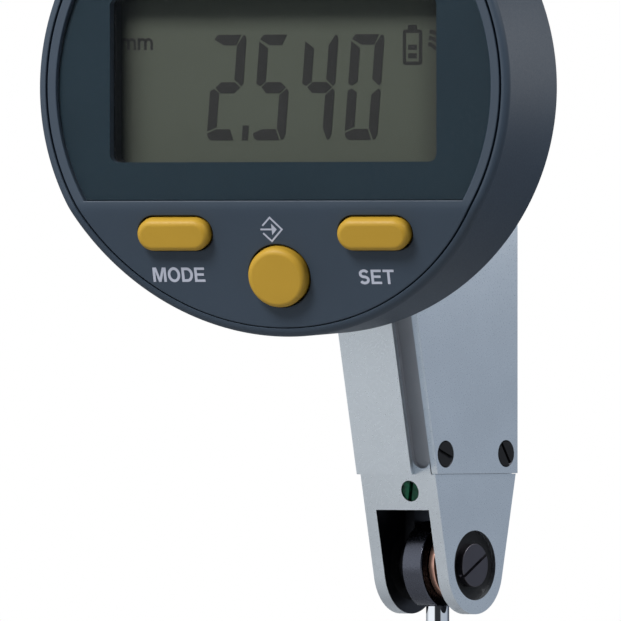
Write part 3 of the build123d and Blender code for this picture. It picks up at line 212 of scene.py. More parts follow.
# Places, as matrices from millimetres to the scene
BODY = Matrix.Scale(MM, 4)
ALONG_X = Matrix(((0, 0, 1, 0), (1, 0, 0, 0), (0, 1, 0, 0), (0, 0, 0, 1)))
BACKWARDS = Matrix.Rotation(radians(-90), 4, "X")
FRONT = Matrix.Rotation(LEAN + radians(90), 4, "X")
ON_PIVOT = Matrix.Translation(PIVOT) @ ALONG_X
HEAD = (
    BODY
    @ Matrix.Translation((0, SWIVEL_Y, HEAD_CENTRE_Z))
    @ Matrix.Rotation(HEAD_TURN, 4, "Z")
    @ Matrix.Translation((0, -HEAD_REACH, 0))
)
PANEL = HEAD @ Matrix.Translation((0, 0, CREASE_Z)) @ Matrix.Rotation(TILT, 4, "X")


# Outlines

TOUCHING = 1e-6          # distance under which two points are one


def arc(centre, radius, start, end, steps):
    """Points on an arc between two angles in degrees, both ends included."""
    angles = [radians(start + (end - start) * step / steps) for step in range(steps + 1)]
    return [(centre[0] + radius * cos(a), centre[1] + radius * sin(a)) for a in angles]


def circle(centre, radius, steps=128):
    return arc(centre, radius, 0, 360, steps)[:-1]


def rectangle(x0, x1, y0, y1):
    return [(x0, y0), (x1, y0), (x1, y1), (x0, y1)]


def rounded_rectangle(width, height, corner, centre=(0, 0), steps=8):
    """Rectangle with round corners, or an oblong where the corner is half its height."""
    x, y = width / 2 - corner, height / 2 - corner
    points = []
    for side_x, side_y, start in ((1, -1, -90), (1, 1, 0), (-1, 1, 90), (-1, -1, 180)):
        middle = (centre[0] + side_x * x, centre[1] + side_y * y)
        points += arc(middle, corner, start, start + 90, steps)
    return [point for index, point in enumerate(points) if dist(point, points[index - 1]) > TOUCHING]


def window_outline(radius, low_z, steps=220):
    """Circle with a straight lower edge."""
    start = degrees(asin(low_z / radius))
    return arc((0, 0), radius, start, 180 - start, steps)


def inset(outline, distance, closed=True):
    """Line moved to its left: inwards where it runs counterclockwise, outwards for a negative distance."""
    moved = []
    last = len(outline) - 1
    for index, (x, y) in enumerate(outline):
        before = (Vector((x, y)) - Vector(outline[index - 1])).normalized()
        after = (Vector(outline[(index + 1) % len(outline)]) - Vector((x, y))).normalized()
        if not closed:
            before = before if index > 0 else after
            after = after if index < last else before
        first, second = Vector((-before.y, before.x)), Vector((-after.y, after.x))
        mitre = (first + second) / (1 + first.dot(second))
        moved.append((x + mitre.x * distance, y + mitre.y * distance))
    return moved


def rounding(radius, steps=6):
    """Insets and depths of a quarter round, from the wall up to the face."""
    angles = [pi / 2 * step / steps for step in range(steps + 1)]
    return [(radius * (1 - cos(a)), radius * (1 - sin(a))) for a in angles]


def front_y(z):
    """Y of the body's leaning front plane, behind the dovetail."""
    return DOVETAIL_HEIGHT / cos(LEAN) - tan(LEAN) * z


# Meshes

FLAT = 1 - 1e-7          # cosine above which two faces share a flat region
SHARP = 32.0             # angle of a sharp edge, in degrees
BEVEL_SHARP = 50.0       # the same, once the edges are rounded
LEVEL = 0.2              # angle under which two faces become one


def link(name, mesh):
    """New object at the origin for a mesh."""
    piece = bpy.data.objects.new(name, mesh)
    bpy.context.scene.collection.objects.link(piece)
    return piece


def mesh_from(name, build, place=None):
    """Mesh filled by a function that takes a bmesh, with its faces turned outwards."""
    mesh = bpy.data.meshes.new(name)
    bm = bmesh.new()
    build(bm)
    bmesh.ops.recalc_face_normals(bm, faces=bm.faces)
    bm.to_mesh(mesh)
    bm.free()
    if place is not None:
        mesh.transform(place)
    return mesh


def stitch(bm, lower, upper):
    """Faces between two rings of vertices."""
    for index in range(len(lower)):
        bm.faces.new((lower[index - 1], lower[index], upper[index], upper[index - 1]))


def along_y(u, v, depth):
    return u, depth, v


def along_z(u, v, depth):
    return u, v, depth


def wall(bm, outline, levels, place=along_y):
    """Rings of an outline at some insets and depths, stitched to each other."""
    rings = [[bm.verts.new(place(u, v, depth)) for u, v in inset(outline, step)] for step, depth in levels]
    for lower, upper in zip(rings, rings[1:]):
        stitch(bm, lower, upper)
    return rings


def fill(bm, *rings):
    """Flat faces inside the first ring and outside the others."""
    edges = [bm.edges.get((ring[index - 1], ring[index])) for ring in rings for index in range(len(ring))]
    bmesh.ops.triangle_fill(bm, use_beauty=True, edges=edges)


def lofted(name, outline, levels, place=None, direction=along_y):
    """Solid through an outline at some insets and depths."""
    def build(bm):
        rings = wall(bm, outline, levels, direction)
        bm.faces.new(rings[0])
        bm.faces.new(rings[-1])
    return link(name, mesh_from(name, build, place))


def slab(outline, low, high, place=ALONG_X):
    """Straight block with an outline, between two heights along the place's own z."""
    return lofted("slab", outline, ((0, low), (0, high)), place, along_z)


def turned(name, profile, place, closed=False, segments=128):
    """Solid turned round the place's own z from (radius, height) points."""
    def build(bm):
        rings = []
        for radius, height in profile:
            rings.append([bm.verts.new((x, y, height)) for x, y in circle((0, 0), radius, segments)])
        for lower, upper in zip(rings, rings[1:]):
            stitch(bm, lower, upper)
        if closed:
            stitch(bm, rings[-1], rings[0])
        else:
            bm.faces.new(rings[0])
            bm.faces.new(rings[-1])
    return link(name, mesh_from(name, build, place))


def settle(piece):
    """Replace a piece's mesh by its evaluated one and drop the modifiers."""
    graph = bpy.context.evaluated_depsgraph_get()
    mesh = bpy.data.meshes.new_from_object(piece.evaluated_get(graph))
    piece.modifiers.clear()
    old = piece.data
    piece.data = mesh
    bpy.data.meshes.remove(old)
    return piece


def carve(piece, cutter, operation="DIFFERENCE"):
    """Cut a piece with another one, or join it on, and delete the other."""
    modifier = piece.modifiers.new("Carve", "BOOLEAN")
    modifier.operation = operation
    modifier.solver = "EXACT"
    modifier.object = cutter
    settle(piece)
    bpy.data.objects.remove(cutter)
    return piece


def plane_areas(bm):
    """Area of the flat region that each face belongs to, by the face's index."""
    areas = {}
    for seed in bm.faces:
        if seed.index in areas:
            continue
        region, reached = [seed], {seed.index}
        for face in region:
            for edge in face.edges:
                for other in edge.link_faces:
                    if other.index not in reached and other.normal.dot(seed.normal) > FLAT:
                        reached.add(other.index)
                        region.append(other)
        total = sum(face.calc_area() for face in region)
        areas.update((index, total) for index in reached)
    return areas


def shade(piece, angle=SHARP):
    """Smooth normals that lean on the larger flat region, with sharp edges above an angle."""
    bm = bmesh.new()
    bm.from_mesh(piece.data)
    bm.normal_update()
    bm.faces.index_update()
    for face in bm.faces:
        face.smooth = True
    for edge in bm.edges:
        edge.smooth = len(edge.link_faces) == 2 and edge.calc_face_angle(pi) < radians(angle)
    areas = plane_areas(bm)
    normals = {}
    for vertex in bm.verts:
        waiting = {loop.face.index: loop for loop in vertex.link_loops}
        while waiting:
            fan = [waiting.popitem()[1]]
            for loop in fan:
                for edge in (loop.edge, loop.link_loop_prev.edge):
                    for face in edge.link_faces if edge.smooth else ():
                        if face.index in waiting:
                            fan.append(waiting.pop(face.index))
            normal = sum((loop.face.normal * areas[loop.face.index] for loop in fan), Vector()).normalized()
            normals.update(((loop.face.index, vertex.index), normal) for loop in fan)
    bm.to_mesh(piece.data)
    bm.free()
    mesh = piece.data
    owners = [face.index for face in mesh.polygons for _ in face.loop_indices]
    corners = [loop.vertex_index for loop in mesh.loops]
    mesh.normals_split_custom_set([normals[pair] for pair in zip(owners, corners)])
    return piece


def soften(piece, width, angle=SHARP):
    """Round the sharp edges of a machined piece."""
    bm = bmesh.new()
    bm.from_mesh(piece.data)
    bmesh.ops.remove_doubles(bm, verts=bm.verts, dist=1e-7)
    bmesh.ops.dissolve_limit(bm, angle_limit=radians(LEVEL), verts=bm.verts, edges=bm.edges)
    bm.to_mesh(piece.data)
    bm.free()
    bevel = piece.modifiers.new("Edges", "BEVEL")
    bevel.width = width * MM
    bevel.segments = 2
    bevel.limit_method = "ANGLE"
    bevel.angle_limit = radians(angle)
    settle(piece)
    return shade(piece, BEVEL_SHARP)


def merged(node):
    """Copy of a CAD node with its doubles merged and its curved faces smooth."""
    mesh = frame["nodes"][node].data.copy()
    bm = bmesh.new()
    bm.from_mesh(mesh)
    bmesh.ops.remove_doubles(bm, verts=bm.verts, dist=2e-6)
    bm.to_mesh(mesh)
    bm.free()
    return shade(link(node + "_finished", mesh))


def slot_of(node):
    """Material slot that the record gives a node."""
    return next(entry["material_slot"] for entry in frame["record"]["subparts"] if entry["node"] == node)


def finish_piece(piece, material, body, slot, *nodes):
    """Give a piece its material and its body and hide the CAD nodes that it stands for; its slot is not used."""
    piece.data.materials.clear()
    piece.data.materials.append(MATERIALS[material])
    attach(piece, body)
    if nodes:
        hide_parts(*nodes)
    return piece


def finish_shaped(node, piece, place, material, body):
    """Name a shaped piece after its node, put it in place and finish it."""
    piece.name = node + "_finished"
    piece.data.transform(place)
    finish_piece(shade(piece), material, body, slot_of(node), node)


# Materials

MATERIALS = {}
NOISE_LOW = 0.3          # grey values that most of a noise lies between
NOISE_HIGH = 0.7
BROAD_NOISE = 180.0      # scale of the slow changes of tone
DRUM_GRAIN = 4200.0
SIDE_MARGIN = 0.03       # from the drum's flat side to where its painted shade starts
FILM_SHADE = (3.4, 0.3)  # where the painted shade on the display starts and ends, inside and outside its edge
# tone of the painted shade at the display's ends, as a share of its colour
FILM_SHADE_TONE = 0.42


def shader(name, colour, roughness, metallic=0.0, **sockets):
    """Material with a Principled shader whose even values stand on its own sockets."""
    material = bpy.data.materials.new(name)
    material.use_nodes = True
    principled = material.node_tree.nodes["Principled BSDF"]
    principled.inputs["Base Color"].default_value = (*colour, 1.0)
    principled.inputs["Roughness"].default_value = roughness
    principled.inputs["Metallic"].default_value = metallic
    for socket, value in sockets.items():
        principled.inputs[socket.replace("_", " ")].default_value = value
    MATERIALS[name] = material
    return material.node_tree.nodes, principled


def feed(node, values):
    """Give a node's inputs values, or links from other nodes' outputs."""
    for key, value in values.items():
        if isinstance(value, bpy.types.NodeSocket):
            node.id_data.links.new(value, node.inputs[key])
        else:
            node.inputs[key].default_value = value


def made(nodes, kind, values=None, **settings):
    """New node with its settings and what its inputs take."""
    node = nodes.new(kind)
    for name, value in settings.items():
        setattr(node, name, value)
    feed(node, values or {})
    return node


def number(nodes, operation, *values):
    """Result of a calculation."""
    return made(nodes, "ShaderNodeMath", dict(enumerate(values)), operation=operation).outputs[0]


def mixed(nodes, share, first, second):
    """Blend of two colours by a share."""
    values = {"Factor": share, "A": first, "B": second}
    return made(nodes, "ShaderNodeMix", values, data_type="RGBA").outputs["Result"]


def object_place(nodes):
    """Object coordinates."""
    return made(nodes, "ShaderNodeTexCoord").outputs["Object"]


def object_noise(nodes, scale, detail):
    """Noise on Object coordinates, as a grey value."""
    values = {"Vector": object_place(nodes), "Scale": scale, "Detail": detail}
    return made(nodes, "ShaderNodeTexNoise", values).outputs["Fac"]


def varied(nodes, value, low, high):
    """Grey value spread between two numbers."""
    values = {"Value": value, "From Min": NOISE_LOW, "From Max": NOISE_HIGH, "To Min": low, "To Max": high}
    return made(nodes, "ShaderNodeMapRange", values).outputs["Result"]


def tinted(nodes, value, dark, light):
    """Colour between two tones by a grey value."""
    ramp = made(nodes, "ShaderNodeValToRGB", {"Fac": value})
    for mark, position, colour in zip(ramp.color_ramp.elements, (NOISE_LOW, NOISE_HIGH), (dark, light)):
        mark.position = position
        mark.color = (*colour, 1.0)
    return ramp.outputs["Color"]


def relief(nodes, value, depth_mm, strength):
    """Normal of a relief by a grey value."""
    values = {"Height": value, "Distance": depth_mm * MM, "Strength": strength}
    return made(nodes, "ShaderNodeBump", values).outputs["Normal"]


def toned(colour, factor):
    """A colour made lighter or darker."""
    return tuple(min(1.0, channel * factor) for channel in colour)


def grained(name, colour, roughness, metallic, grain_scale, depth_mm, spread=0.06, **sockets):
    """Even finish with a fine grain in relief, tone and roughness."""
    nodes, principled = shader(name, colour, roughness, metallic, **sockets)
    fine = object_noise(nodes, grain_scale, 4.0)
    broad = object_noise(nodes, BROAD_NOISE, 2.0)
    feed(principled, {
        "Base Color": tinted(nodes, broad, toned(colour, 1 - spread), toned(colour, 1 + spread)),
        "Roughness": varied(nodes, fine, roughness * 0.88, roughness * 1.12),
        "Normal": relief(nodes, fine, depth_mm, 0.5),
    })


def blotched(name, dark, light, roughness, blotch_scale):
    """Lacquer that has settled in dark blotches."""
    nodes, principled = shader(name, light, roughness, Specular_IOR_Level=0.25)
    blotches = object_noise(nodes, blotch_scale, 3.0)
    feed(principled, {
        "Base Color": tinted(nodes, blotches, dark, light),
        "Normal": relief(nodes, blotches, 0.03, 0.5),
    })


def ringed(name, colour, roughness, ring_pitch, depth_mm, spread):
    """Turned metal with fine rings round the pivot axis."""
    nodes, principled = shader(name, colour, roughness, 1.0)
    values = {"Vector": object_place(nodes), "Location": -PIVOT * MM}
    place = made(nodes, "ShaderNodeMapping", values).outputs["Vector"]
    values = {"Vector": place, "Scale": 2 * pi / (20 * ring_pitch * MM), "Distortion": 0.6, "Detail": 3.0}
    rings = made(nodes, "ShaderNodeTexWave", values, wave_type="RINGS", rings_direction="X").outputs["Fac"]
    feed(principled, {
        "Base Color": tinted(nodes, rings, toned(colour, 1 - spread), toned(colour, 1 + spread)),
        "Normal": relief(nodes, rings, depth_mm, 0.6),
    })


def side_shaded(name, rim, side, roughness):
    """Turned metal whose flat sides, past a width from the middle, carry a painted shade, near black."""
    nodes, principled = shader(name, rim, roughness, 1.0)
    across = made(nodes, "ShaderNodeSeparateXYZ", {"Vector": object_place(nodes)}).outputs["X"]
    past = number(nodes, "GREATER_THAN", number(nodes, "ABSOLUTE", across), (DRUM_HALF - SIDE_MARGIN) * MM)
    fine = object_noise(nodes, DRUM_GRAIN, 4.0)
    feed(principled, {
        "Base Color": mixed(nodes, past, (*rim, 1.0), (*side, 1.0)),
        "Roughness": varied(nodes, fine, roughness * 0.85, roughness * 1.15),
        "Normal": relief(nodes, fine, 0.004, 0.5),
    })


def framed(name, colour, roughness):
    """Film with painted shade, darker softly towards both ends where its frame shades it."""
    nodes, principled = shader(name, colour, roughness, Specular_IOR_Level=0.2)
    sideways = HEAD.col[0].xyz.normalized()
    centre = HEAD.translation.dot(sideways) + VIEW_SHIFT * MM
    values = {0: object_place(nodes), 1: sideways}
    along = made(nodes, "ShaderNodeVectorMath", values, operation="DOT_PRODUCT").outputs["Value"]
    reach = number(nodes, "ABSOLUTE", number(nodes, "SUBTRACT", along, centre))
    inner, outer = VIEW_WIDTH / 2 - FILM_SHADE[0], VIEW_WIDTH / 2 + FILM_SHADE[1]
    values = {"Value": reach, "From Min": inner * MM, "From Max": outer * MM}
    edge = made(nodes, "ShaderNodeMapRange", values, interpolation_type="SMOOTHSTEP").outputs["Result"]
    painted_shade = toned(colour, FILM_SHADE_TONE)
    feed(principled, {"Base Color": mixed(nodes, edge, (*colour, 1.0), (*painted_shade, 1.0))})


def make_materials(colours):
    """Every finish of the instrument."""
    grained("satin_chrome", colours.chrome, 0.3, 1.0, 9000.0, 0.003, 0.03)
    # Painted shade: near-black steel for the fork's slot, the lever in it and the round of the cover screws, where
    # they lie in shadow.
    grained("painted_shade_steel", (0.05, 0.052, 0.06), 0.35, 1.0, 7000.0, 0.0005, 0.1)
    grained("groove_steel", (0.50, 0.51, 0.54), 0.5, 0.4, 7000.0, 0.001, 0.05)
    grained("black_steel", (0.006, 0.006, 0.007), 0.5, 0.0, 5000.0, 0.001, Specular_IOR_Level=0.25)
    grained("oxide_steel", (0.10, 0.094, 0.108), 0.36, 1.0, 5000.0, 0.001)
    # The drum's flat sides get painted shade, near black, where they are seen in shade.
    side_shaded("dark_steel", (0.10, 0.105, 0.13), (0.006, 0.006, 0.007), 0.26)
    blotched("green_lacquer", (0.0, 0.006, 0.004), (0.004, 0.14, 0.065), 0.4, 1700.0)
    grained("slate_plastic", colours.housing, 0.5, 0.0, 7000.0, 0.003, 0.03, Specular_IOR_Level=0.35)
    grained("yellow_plastic", colours.buttons, 0.5, 0.0, 6000.0, 0.003, 0.03, Specular_IOR_Level=0.3)
    grained("mask_print", colours.mask, 0.5, 0.0, 5000.0, 0.001, 0.03, Specular_IOR_Level=0.2)
    grained("white_plastic", (0.6, 0.6, 0.57), 0.5, 0.0, 5000.0, 0.004)
    grained("black_plastic", (0.012, 0.013, 0.014), 0.5, 0.0, 5000.0, 0.004, Specular_IOR_Level=0.3)
    grained("seal_rubber", (0.012, 0.012, 0.012), 0.75, 0.0, 5000.0, 0.006)
    grained("board_laminate", (0.01, 0.12, 0.05), 0.35, 0.0, 2500.0, 0.003)
    grained("bright_steel", (0.56, 0.57, 0.58), 0.28, 1.0, 5000.0, 0.001)
    grained("polished_chrome", (0.85, 0.86, 0.88), 0.03, 1.0, 3000.0, 0.00002)
    grained("carbide", (0.25, 0.25, 0.27), 0.16, 1.0, 6000.0, 0.001)
    ringed("copper", (0.92, 0.52, 0.40), 0.32, 0.22, 0.006, 0.12)
    grained("movement_brass", (0.58, 0.40, 0.13), 0.3, 1.0, 5000.0, 0.003)
    grained("jewel", (0.35, 0.005, 0.02), 0.08, 0.0, 3000.0, 0.0005, Transmission_Weight=0.6)
    grained("cable_jacket", (0.02, 0.02, 0.022), 0.5, 0.0, 5000.0, 0.003)
    framed("display_film", colours.display, 0.5)
    glass = {"Alpha": 0.06, "Specular_IOR_Level": 0.12}
    grained("window_glass", (0.02, 0.025, 0.03), 0.04, 0.0, 3000.0, 0.0001, **glass)
    grained("segment_ink", colours.segments, 0.5, 0.0, 5000.0, 0.001, Specular_IOR_Level=0.1)
    grained("letter_ink", colours.letters, 0.55, 0.0, 8000.0, 0.001)


# Settings

class INDICATOR_PG_colours(bpy.types.PropertyGroup):
    """Colours of the finishes."""

    chrome: bpy.props.FloatVectorProperty(
        name="Chrome", description="Satin chrome of the body",
        subtype="COLOR", default=(0.72, 0.765, 0.805),
    )
    housing: bpy.props.FloatVectorProperty(
        name="Housing", description="Slate plastic of the head",
        subtype="COLOR", default=(0.031, 0.0465, 0.068),
    )
    buttons: bpy.props.FloatVectorProperty(
        name="Buttons", description="Plastic of the buttons",
        subtype="COLOR", default=(0.435, 0.257, 0.024),
    )
    mask: bpy.props.FloatVectorProperty(
        name="Mask", description="Print behind the window",
        subtype="COLOR", default=(0.0075, 0.0215, 0.0325),
    )
    display: bpy.props.FloatVectorProperty(
        name="Display", description="Film of the display",
        subtype="COLOR", default=(0.070, 0.079, 0.060),
    )
    segments: bpy.props.FloatVectorProperty(
        name="Segments", description="Dark segments of the display",
        subtype="COLOR", default=(0.028, 0.028, 0.027),
    )
    letters: bpy.props.FloatVectorProperty(
        name="Letters", description="Printed lettering", subtype="COLOR", default=(0.42, 0.44, 0.52)
    )


class INDICATOR_PG_display(bpy.types.PropertyGroup):
    """Reading and digits of the display."""

    reading: bpy.props.StringProperty(name="Reading", description="Number shown", default="2.540")
    digit_height: bpy.props.FloatProperty(
        name="Digit Height", description="Height of a digit, in millimetres", default=9.25, min=1.0
    )
    digit_width: bpy.props.FloatProperty(
        name="Digit Width", description="Width of a digit, in millimetres", default=3.07, min=1.0
    )
    digit_pitch: bpy.props.FloatProperty(
        name="Digit Pitch", description="Distance from digit to digit, in millimetres",
        default=4.29, min=1.0,
    )
    slant: bpy.props.FloatProperty(
        name="Slant", description="Lean of the digits", subtype="ANGLE", default=radians(4.4)
    )


class INDICATOR_PG_edges(bpy.types.PropertyGroup):
    """Roundings that machining and moulding leave."""

    metal: bpy.props.FloatProperty(
        name="Metal Edges", description="Rounding of the body's edges, in millimetres",
        default=0.07, min=0.01,
    )
    cover: bpy.props.FloatProperty(
        name="Cover Edges", description="Rounding of the covers' edges, in millimetres",
        default=0.06, min=0.01,
    )
    plastic: bpy.props.FloatProperty(
        name="Plastic Edges", description="Rounding of the face plate's edges, in millimetres",
        default=0.1, min=0.01,
    )


class INDICATOR_PG_studio(bpy.types.PropertyGroup):
    """Camera, lights and world, over a plain floor."""

    azimuth: bpy.props.FloatProperty(
        name="Azimuth", description="Direction of the camera round the body",
        subtype="ANGLE", default=radians(36.5),
    )
    lens: bpy.props.FloatProperty(
        name="Lens", description="Focal length, in millimetres", default=1200.0, min=1.0
    )
    half_width: bpy.props.FloatProperty(
        name="Half Width", description="Half of what the frame takes in, in millimetres",
        default=27.29, min=1.0,
    )
    key_power: bpy.props.FloatProperty(
        name="Key Power", description="Power of the key light", unit="POWER", default=0.8
    )
    rim_power: bpy.props.FloatProperty(
        name="Rim Power", description="Power of the rim light", unit="POWER", default=0.9
    )
    world_power: bpy.props.FloatProperty(
        name="World Power", description="Brightness of the studio round the object", default=1.5
    )


# Metal body

BEND_Z = SWIVEL_Z - LUG_HEIGHT - LUG_THICKNESS - 0.6


def core_outline():
    """Side outline of the body between its covers."""
    return [
        (front_y(FORK_TOP_Z), FORK_TOP_Z), (BODY_BACK_Y, FORK_TOP_Z), (BODY_BACK_Y, BODY_TOP_Z),
        (front_y(BEND_Z), BODY_TOP_Z), (front_y(BEND_Z), BEND_Z),
    ]


def cavity_outline():
    wall_y = BODY_WALL / cos(LEAN)
    return [
        (front_y(CAVITY_LOW_Z) + wall_y, CAVITY_LOW_Z), (BODY_BACK_Y - BODY_WALL, CAVITY_LOW_Z),
        (BODY_BACK_Y - BODY_WALL, CAVITY_HIGH_Z), (front_y(CAVITY_HIGH_Z) + wall_y, CAVITY_HIGH_Z),
    ]


def fork_outline():
    """Two straight flanks that run into the round of the ears."""
    middle = (PIVOT.y + EAR_DROP * tan(LEAN), PIVOT.z - EAR_DROP)
    dy, dz = BODY_BACK_Y - middle[0], FORK_TOP_Z - middle[1]
    back = degrees(atan2(dz, dy) - acos(EAR_RADIUS / hypot(dy, dz)))
    front = 180 + degrees(LEAN)
    ears = arc(middle, EAR_RADIUS, front, back + 360, 96)
    return [(front_y(FORK_TOP_Z), FORK_TOP_Z), *ears, (BODY_BACK_Y, FORK_TOP_Z)]


def dovetail_outline(height):
    """Section of a rail with its wide face on the x axis and its root towards +y."""
    half = DOVETAIL_WIDTH / 2
    root = half - height * tan(DOVETAIL_FLANK)
    return [(-half, 0), (half, 0), (root, height), (-root, height)]


def front_rail():
    """Rail on the leaning front, cut level at both ends."""
    reach = BODY_TOP_Z - FORK_TOP_Z
    rail = slab(dovetail_outline(DOVETAIL_HEIGHT + RAIL_ROOT), -reach, reach, Matrix.Rotation(LEAN, 4, "X"))
    keep = slab(rectangle(-reach, reach, FORK_TOP_Z, BEND_Z - 1), -FORK_HALF, FORK_HALF)
    return carve(rail, keep, "INTERSECT")


def groove(side):
    """Space of the milled groove beside the rail, with the round end that its cutter leaves."""
    inner = DOVETAIL_WIDTH / 2 - DOVETAIL_HEIGHT * tan(DOVETAIL_FLANK)
    low = FORK_TOP_Z / cos(LEAN) + GROOVE_END_GAP + GROOVE_RUNOUT
    high = (BEND_Z - 1) / cos(LEAN)
    end = arc((inner + GROOVE_RUNOUT, low), GROOVE_RUNOUT, 180, 360, 24)
    outline = [*end, (inner + 2 * GROOVE_RUNOUT, high), (inner, high)]
    if side < 0:
        outline = [(-x, y) for x, y in reversed(outline)]
    return slab(outline, -DOVETAIL_HEIGHT - GROOVE_DEPTH, -1, FRONT)


def lug(low):
    """Round-ended lug that carries the swivel tube."""
    root = front_y(BEND_Z) + 1
    outline = [*arc((0, SWIVEL_Y), LUG_RADIUS, 180, 360, 48), (LUG_RADIUS, root), (-LUG_RADIUS, root)]
    return slab(outline, low, low + LUG_THICKNESS, Matrix.Identity(4))


def rod(radius, low, high, place, segments=128):
    return turned("rod", [(radius, low), (radius, high)], place, segments=segments)


def body_frame():
    """Frame with its rails, grooves, lugs and fork, cut as the real one is."""
    piece = slab(core_outline(), -CORE_HALF, CORE_HALF)
    start = (front_y(BEND_Z) + BODY_BACK_Y - TOP_DOVETAIL_LENGTH) / 2
    top = Matrix.Translation((0, 0, BODY_TOP_Z + DOVETAIL_HEIGHT)) @ BACKWARDS
    rear = Matrix.Translation((0, BODY_BACK_Y + REAR_DOVETAIL_HEIGHT, 0)) @ Matrix.Rotation(pi, 4, "Z")
    rear_ends = FORK_TOP_Z + REAR_DOVETAIL_ENDS, BODY_TOP_Z - REAR_DOVETAIL_ENDS
    joined = (
        slab(fork_outline(), -FORK_HALF, FORK_HALF),
        front_rail(),
        slab(dovetail_outline(REAR_DOVETAIL_HEIGHT + RAIL_ROOT), *rear_ends, rear),
        slab(dovetail_outline(DOVETAIL_HEIGHT + RAIL_ROOT), start, start + TOP_DOVETAIL_LENGTH, top),
        lug(SWIVEL_Z + LUG_HEIGHT),
        lug(SWIVEL_Z - LUG_HEIGHT - LUG_THICKNESS),
    )
    for part in joined:
        carve(piece, part, "UNION")
    reach = 2 * EAR_RADIUS
    front, back = PIVOT.y - PASSAGE_HALF, PIVOT.y + PASSAGE_HALF
    passage = rectangle(front, back, FORK_SLOT_TOP_Z - 1, CAVITY_LOW_Z + 1)
    slot = rectangle(PIVOT.y - reach, BODY_BACK_Y + 1, PIVOT.z - reach, FORK_SLOT_TOP_Z)
    screw_seat = Matrix.Translation((SET_SCREW_X, front_y(SET_SCREW_Z), SET_SCREW_Z)) @ FRONT
    cuts = (
        groove(1),
        groove(-1),
        slab(cavity_outline(), -FORK_HALF, FORK_HALF),
        slab(slot, -FORK_SLOT_HALF, FORK_SLOT_HALF),
        slab(passage, LEVER_X - LEVER_ROOM, LEVER_X + LEVER_THICKNESS + LEVER_ROOM),
        rod(BEARING_RADIUS, -reach, reach, ON_PIVOT),
        rod(SET_SCREW_RADIUS, -SET_SCREW_DEPTH, 1, screw_seat, 64),
        rod(SWIVEL_TUBE_RADIUS, BEND_Z, BODY_TOP_Z + 1, Matrix.Translation((0, SWIVEL_Y, 0)), 64),
    )
    for cutter in cuts:
        carve(piece, cutter)
    return piece


def paint_slot_shade_and_dull_grooves(piece):
    """Give the fork's slot a painted shade, dark steel where its walls lie in shadow, and the grooves the dull
    finish that the cutter leaves.
    """
    piece.data.materials.append(MATERIALS["painted_shade_steel"])
    piece.data.materials.append(MATERIALS["groove_steel"])
    inner = DOVETAIL_WIDTH / 2 - DOVETAIL_HEIGHT * tan(DOVETAIL_FLANK) - 0.05
    for face in piece.data.polygons:
        x, y, z = face.center / MM
        behind = (y - front_y(z)) * cos(LEAN)
        # Painted shade on the walls of the fork's slot.
        if abs(x) < FORK_SLOT_HALF + 0.01 and z < CAVITY_LOW_Z - 0.1 and 0.6 < behind and y < BODY_BACK_Y:
            face.material_index = 1
        elif abs(x) > inner and z > FORK_TOP_Z and 0.02 < behind < GROOVE_DEPTH + 0.05:
            face.material_index = 2


def paint_countersink_shade(piece):
    """Paint shade on the cuts round the cover screws, dark where they lie in shadow."""
    reach = COVER_SCREW_RADIUS + COUNTERSINK_SHADE_MARGIN
    piece.data.materials.append(MATERIALS["painted_shade_steel"])
    for face in piece.data.polygons:
        centre = (face.center / MM).yz
        if any((centre - Vector(place[:2])).length < reach for place in cover_screw_places()):
            face.material_index = 1


def cover_screw_places():
    """(y, z) and turn of the four screws of a side cover."""
    low, high = FORK_TOP_Z + COVER_SCREW_INSET, BODY_TOP_Z - COVER_SCREW_INSET
    back = BODY_BACK_Y - COVER_SCREW_INSET
    return (
        (front_y(low) + COVER_SCREW_FRONT_GAP, low, 70), (back, low, 35),
        (front_y(BEND_Z) + COVER_SCREW_FRONT_GAP, high, -20), (back, high, 50),
    )


def on_cover(side, y, z, turn=0):
    """Place on a side cover, looking outwards."""
    return (
        Matrix.Translation((side * COVER_X, y, z))
        @ Matrix.Rotation(radians(90 * side), 4, "Y")
        @ Matrix.Rotation(radians(turn), 4, "Z")
    )


def side_cover(side):
    """Flat cover with countersunk holes."""
    piece = slab(inset(core_outline(), JOINT), *sorted((side * (CORE_HALF + JOINT), side * COVER_X)))
    shank = COVER_SCREW_SHANK + COVER_SCREW_GAPS[0]
    seat, mouth = (COVER_SCREW_RADIUS + gap for gap in COVER_SCREW_GAPS[1:])
    hole = [(shank, -2), (shank, -COVER_SCREW_RADIUS / 2), (seat, -0.04), (mouth, 0.04), (mouth, 1)]
    for y, z, _ in cover_screw_places():
        carve(piece, turned("hole", hole, on_cover(side, y, z), segments=64))
    return piece


# Screws, as points that a tree turns into slotted screws

SCREW_SIZES = ("Head Radius", "Head Height", "Shank Radius", "Length", "Slot Width", "Slot Depth")


